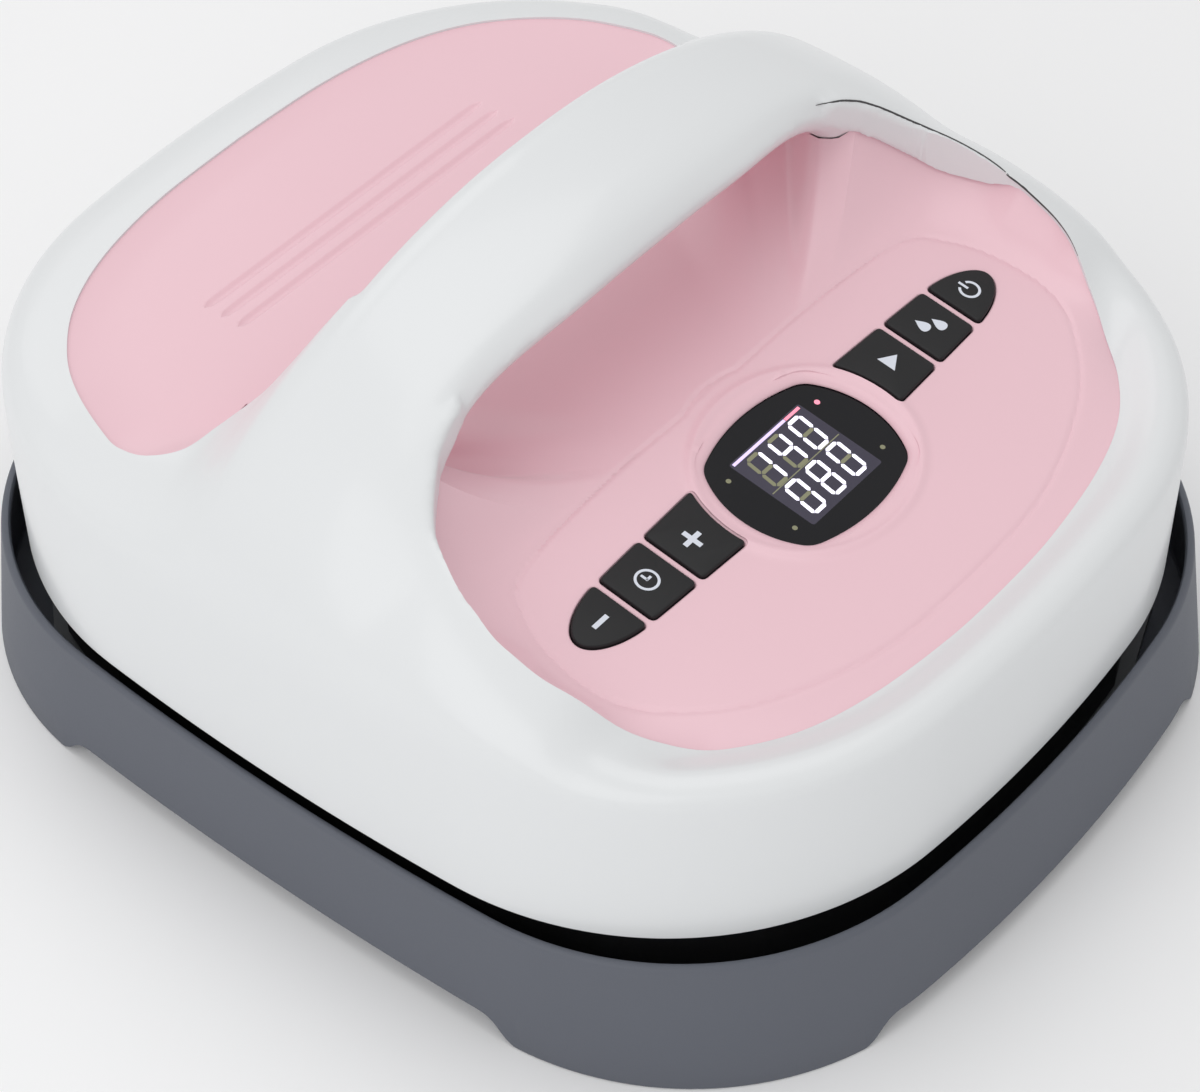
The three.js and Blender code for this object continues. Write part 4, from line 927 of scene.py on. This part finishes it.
SIGNS = {
    "button_minus": [stroke((-2.9, 0), (2.9, 0), 1.5)],
    "button_set": [arc_band(3.3, 0.8, 0, 359.9, 60), stroke((0, -0.3), (0, 2.2), 0.8),
                   stroke((-0.2, 0), (1.7, 0), 0.8)],
    "button_plus": [stroke((-3.3, 0), (3.3, 0), 1.6), stroke((0, -3.3), (0, -0.8), 1.6),
                    stroke((0, 0.8), (0, 3.3), 1.6)],
    "button_start": [[(-2.4, -3.2), (3.2, 0), (-2.4, 3.2)]],
    "button_mode": [drop(np.array([-1.9, 1.7]), 2.7), drop(np.array([2.1, -1.5]), 2.7)],
    "button_power": [arc_band(3.0, 0.85, 120, 420, 50), stroke((0, 0.6), (0, 4.1), 0.85)],
}
for name, shapes in SIGNS.items():
    place = BUTTONS[name]
    shift = np.array([BUTTON_U[abs(place)] * (1 if place > 0 else -1), 0.0])
    sign = flat_shapes(name + "_sign", [np.asarray(shape) + shift for shape in shapes],
                       CAP_TOP + 0.01, CAP_TOP + 0.06)
    placed(sign, name, [], "button_black", "sign_ink")
print("signs:", len(SIGNS))

# %% [markdown]
# ## The display
# Behind the dark lens lie two rows of three seven-segment digits. The lit segments
# shine white with a violet cast, and the unlit ones show as a dull olive. A lilac bar
# marks the edge near the handle, four small lamps sit beside the window, and one of
# them is lit. The digits are plates just above the lens, bright by emission.

# %% Digits and lamps
LENS_TOP = -2.2
SEGMENTS = {"a": ((0, 1), (1, 1)), "b": ((1, 1), (1, 0.5)), "c": ((1, 0.5), (1, 0)),
            "d": ((0, 0), (1, 0)), "e": ((0, 0.5), (0, 0)), "f": ((0, 1), (0, 0.5)),
            "g": ((0, 0.5), (1, 0.5))}
LIT = {"0": "abcdef", "1": "bc", "4": "bcfg", "8": "abcdefg"}
DIGIT_WIDE, DIGIT_HIGH, DIGIT_LINE, DIGIT_PITCH = 5.2, 11.6, 1.25, 9.6
DIGIT_SLANT, DIGIT_GAP = 0.09, 0.18


def segment(a, b):
    """A bar with pointed ends between two corners of a digit."""
    a = np.array(a, float) * (DIGIT_WIDE, DIGIT_HIGH)
    b = np.array(b, float) * (DIGIT_WIDE, DIGIT_HIGH)
    along = (b - a) / np.linalg.norm(b - a)
    side = np.array([-along[1], along[0]]) * DIGIT_LINE / 2
    near, far = a + DIGIT_GAP * along, b - DIGIT_GAP * along
    tip = along * DIGIT_LINE / 2
    return np.array([near, near + tip - side, far - tip - side, far, far - tip + side,
                     near + tip + side])


lit_shapes, unlit_shapes = [], []
for row, word in ((0.75, "140"), (-12.9, "080")):
    for column, digit in enumerate(word):
        corner = np.array([(column - 1) * DIGIT_PITCH - DIGIT_WIDE / 2 - 0.4,
                           row + DISPLAY_V + 0.2])
        for key, (a, b) in SEGMENTS.items():
            shape = segment(a, b)
            slant = np.stack([shape[:, 1] * DIGIT_SLANT, shape[:, 1] * 0], 1)
            shape = shape + slant + corner
            (lit_shapes if key in LIT[digit] else unlit_shapes).append(shape)


def soft_box(u0, v0, u1, v1, corner):
    return softened([(u0, v0), (u1, v0), (u1, v1), (u0, v1)], corner / 4, 3)


def dot(u, v, radius):
    angle = np.arange(24) * 2 * np.pi / 24
    return np.stack([u + radius * np.cos(angle), v + radius * np.sin(angle)], 1)


display_parts = {
    "display_window": ([soft_box(-16.3, -20.05, 16.3, 10.45, 1.2)], 0.01, 0.03,
                       "display_window"),
    "display_digits": (lit_shapes, 0.04, 0.08, "digit_lit"),
    "display_unlit": (unlit_shapes, 0.04, 0.07, "digit_unlit"),
    "display_divider": ([stroke((-15.6, DISPLAY_V + 0.1), (15.6, DISPLAY_V + 0.1), 0.35)],
                        0.04, 0.06, "digit_unlit"),
    "display_bar": ([stroke((-15.4, 9.4), (8.5, 9.4), 1.0)], 0.04, 0.07, "bar_lilac"),
    "display_bar_end": ([stroke((8.7, 9.4), (15.4, 9.4), 1.0)], 0.04, 0.07, "bar_red"),
    "display_lamps": ([dot(-20.8, 6.9, 0.8), dot(-20.8, -16.8, 0.8), dot(20.8, -16.8, 0.8)],
                      0.01, 0.05, "digit_unlit"),
    "display_lamp_lit": ([dot(20.8, 6.9, 0.9)], 0.01, 0.05, "bar_red"),
}
for name, (shapes, low, high, finish_name) in display_parts.items():
    part = flat_shapes(name, shapes, LENS_TOP + low, LENS_TOP + high)
    placed(part, "press", [], "display_dark", finish_name)
print("segments lit and unlit:", len(lit_shapes), len(unlit_shapes))

# %% [markdown]
# ## The safety base
# The tray is lofted from its foot to its rim, with a rounded lip, then hollowed from
# above and from below. Each side has a long low cut-out, so that it stands on four
# corner feet. The ramps at the ends of a cut-out are smooth curves, made by moving
# along a cubic from the table up to the cut-out's height.

# %% Safety base
RIM = (147.6, 170.2, 1020, 509, 95.6)
FOOT = (149.5, 176.0, 1400, 540, 94)
RIM_Z, TRAY_WALL, HOLLOW_TOP = 46.5, 3.0, 8.4
NOTCH_HALF_X, NOTCH_HALF_Y, NOTCH_TOP, NOTCH_RAMP, NOTCH_REACH = 80, 85, 7.8, 8, 190


def between(low_plan, high_plan, share):
    return tuple(a + (b - a) * share for a, b in zip(low_plan, high_plan))


def tray_rings(by, profile, steps=320):
    return [plan_ring(grown(between(FOOT, RIM, z / RIM_Z), by + g), z, steps) for g, z in profile]


lip = [(-1.5 * (1 - math.cos(a)), 45 + 1.5 * math.sin(a))
       for a in np.linspace(0, np.pi / 2, 7)]
outer_profile = [(-0.5, 0), (-0.15, 0.15), (0, 0.5), (0, 15), (0, 30), (0, 44)] + lip
inner_profile = [(-2, 11.4), (-0.6, 11.9), (0, 13), (0, 30), (0, 44.2), (0.1, 45.2),
                 (0.4, 45.9), (0.9, 46.4), (1.5, 46.5), (1.6, 50)]
base = loft("safety_base_tray", tray_rings(0, outer_profile))
foot_hollow = loft("tool", [plan_ring(grown(FOOT, -12), z, 320) for z in (-4, HOLLOW_TOP)])
cut(base, ("DIFFERENCE", loft("tool", tray_rings(-TRAY_WALL, inner_profile))),
    ("DIFFERENCE", foot_hollow))


def notch(half):
    t = np.linspace(0, 1, 25)[:, None]
    wide, narrow = half + NOTCH_RAMP, half - NOTCH_RAMP
    a, b, c, d = (np.array(p, float) for p in
                  ((-wide, 0), (-half, 0), (-half, NOTCH_TOP), (-narrow, NOTCH_TOP)))
    ramp = a * (1 - t) ** 3 + 3 * b * t * (1 - t) ** 2 + 3 * c * t * t * (1 - t) + d * t ** 3
    outline = np.concatenate([[(-wide, -4)], ramp, (ramp * (-1, 1))[::-1], [(wide, -4)]])
    return turned(prism("tool", outline, -NOTCH_REACH, NOTCH_REACH), ("X", 1))


cut(base, ("DIFFERENCE", notch(NOTCH_HALF_X)),
    ("DIFFERENCE", turned(notch(NOTCH_HALF_Y), ("Z", 1))))
placed(crisp(base, 30), "base", ["safety_base"], "base_grey")
print("base:", len(base.data.polygons), "faces")

# %% [markdown]
# ## Finishes
# A flat colour never looks like a moulded piece. Every finish here has three layers of
# detail: a broad drift of tone, a fine grain that changes the gloss, and a bump with
# the depth of the real texture. The glossy white and pink have an almost invisible
# orange skin, the grey tray a spark-eroded grain, and the steel a brushed direction.

# %% Procedural finishes
finishes = {}


def finish(name, colour, roughness, grain, depth, drift=0.02, gloss_drift=0.04, metallic=0.0,
           coat=0.0, broad=14.0, stretch=(1, 1, 1), detail=3.0, specular=0.5, glow=None):
    """Makes one material; grain is its noise scale, depth its bump in millimetres."""
    material, tree, shader = new_material(name)
    nodes, links = tree.nodes, tree.links
    place = nodes.new("ShaderNodeTexCoord")
    scale = nodes.new("ShaderNodeMapping")
    scale.inputs["Scale"].default_value = stretch
    links.new(place.outputs["Object"], scale.inputs["Vector"])
    tone = nodes.new("ShaderNodeTexNoise")
    tone.inputs["Scale"].default_value = broad
    tone.inputs["Detail"].default_value = 4.0
    fine = nodes.new("ShaderNodeTexNoise")
    fine.inputs["Scale"].default_value = grain
    fine.inputs["Detail"].default_value = detail
    links.new(scale.outputs["Vector"], tone.inputs["Vector"])
    links.new(scale.outputs["Vector"], fine.inputs["Vector"])
    mix = nodes.new("ShaderNodeMix")
    mix.data_type = "RGBA"
    mix.inputs[6].default_value = (*(min(1, c * (1 - drift)) for c in colour), 1)
    mix.inputs[7].default_value = (*(min(1, c * (1 + drift)) for c in colour), 1)
    links.new(tone.outputs["Fac"], mix.inputs[0])
    links.new(mix.outputs[2], shader.inputs["Base Color"])
    gloss = nodes.new("ShaderNodeMapRange")
    gloss.inputs["To Min"].default_value = max(0.02, roughness - gloss_drift)
    gloss.inputs["To Max"].default_value = roughness + gloss_drift
    links.new(fine.outputs["Fac"], gloss.inputs["Value"])
    links.new(gloss.outputs["Result"], shader.inputs["Roughness"])
    bump = nodes.new("ShaderNodeBump")
    bump.inputs["Strength"].default_value = 1.0
    bump.inputs["Distance"].default_value = depth * MM
    links.new(fine.outputs["Fac"], bump.inputs["Height"])
    links.new(bump.outputs["Normal"], shader.inputs["Normal"])
    shader.inputs["Metallic"].default_value = metallic
    shader.inputs["Coat Weight"].default_value = coat
    shader.inputs["Specular IOR Level"].default_value = specular
    shader.inputs["Coat Roughness"].default_value = 0.12
    if glow:
        shader.inputs["Emission Color"].default_value = (*glow[0], 1)
        shader.inputs["Emission Strength"].default_value = glow[1]
    finishes[name] = material


finish("shell_white", (0.76, 0.775, 0.785), 0.30, 1400, 0.004, drift=0.006, coat=0.25)
finish("deck_pink", (0.85, 0.565, 0.625), 0.34, 1500, 0.004, drift=0.012, coat=0.15)
finish("base_grey", (0.104, 0.113, 0.138), 0.56, 1800, 0.02, drift=0.05, gloss_drift=0.06)
finish("pad_silicone", (0.2, 0.21, 0.225), 0.7, 900, 0.02, drift=0.06)
finish("skirt_black", (0.012, 0.012, 0.013), 0.5, 1600, 0.015, drift=0.1)
finish("plate_coating", (0.035, 0.035, 0.038), 0.42, 2600, 0.02, drift=0.2, broad=60, metallic=0.2)
finish("steel", (0.52, 0.53, 0.54), 0.3, 900, 0.008, drift=0.08, metallic=1.0,
       stretch=(0.05, 1, 1))
finish("ceramic", (0.74, 0.70, 0.61), 0.75, 1200, 0.02, drift=0.05)
finish("glass_wool", (0.70, 0.66, 0.56), 0.95, 350, 0.35, drift=0.2, stretch=(0.3, 1, 1), detail=8)
finish("board_green", (0.02, 0.12, 0.05), 0.4, 700, 0.01, drift=0.35, broad=120, coat=0.3)
finish("parts_black", (0.018, 0.018, 0.019), 0.5, 1500, 0.012, drift=0.1)
finish("display_dark", (0.006, 0.006, 0.008), 0.08, 300, 0.0005, drift=0.1, gloss_drift=0.02,
       specular=0.3)
finish("button_black", (0.011, 0.011, 0.012), 0.42, 2600, 0.008, drift=0.06, specular=0.32)
finish("seam_dark", (0.05, 0.048, 0.05), 0.7, 900, 0.002, drift=0.05)
finish("sign_ink", (0.72, 0.76, 0.84), 0.55, 2000, 0.002, drift=0.03)
finish("display_window", (0.03, 0.028, 0.038), 0.25, 500, 0.002, drift=0.3, broad=90,
       glow=((0.10, 0.07, 0.22), 0.10))
finish("digit_lit", (0.9, 0.88, 1.0), 0.4, 600, 0.001, glow=((0.86, 0.84, 1.0), 0.95))
finish("digit_unlit", (0.16, 0.16, 0.10), 0.5, 600, 0.002, drift=0.15,
       glow=((0.30, 0.30, 0.17), 0.30))
finish("bar_lilac", (0.7, 0.6, 0.9), 0.4, 600, 0.001, glow=((0.62, 0.50, 0.92), 0.55))
finish("bar_red", (0.9, 0.3, 0.4), 0.4, 600, 0.001, glow=((0.95, 0.25, 0.36), 0.6))
record_slots = {part["node"]: part["material_slot"] for part in frame["record"]["subparts"]}
for node_name, node_object in frame["nodes"].items():
    material = finishes[record_slots[node_name]]
    if node_object.material_slots:
        for holder in node_object.material_slots:
            holder.material = material
    else:
        node_object.data.materials.append(material)
for finish_name, pieces in pieces_by_finish.items():
    for piece in pieces:
        piece.data.materials.clear()
        piece.data.materials.append(finishes[finish_name])
print("finishes:", len(finishes), "solids dressed:", len(record_slots))

# %% [markdown]
# The dressed model must keep the size of the solids. We measure the box of the dressed model, in
# metres, and close the lesson.

# %% Box of the dressed model and finish
bpy.context.view_layer.update()
low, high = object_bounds()
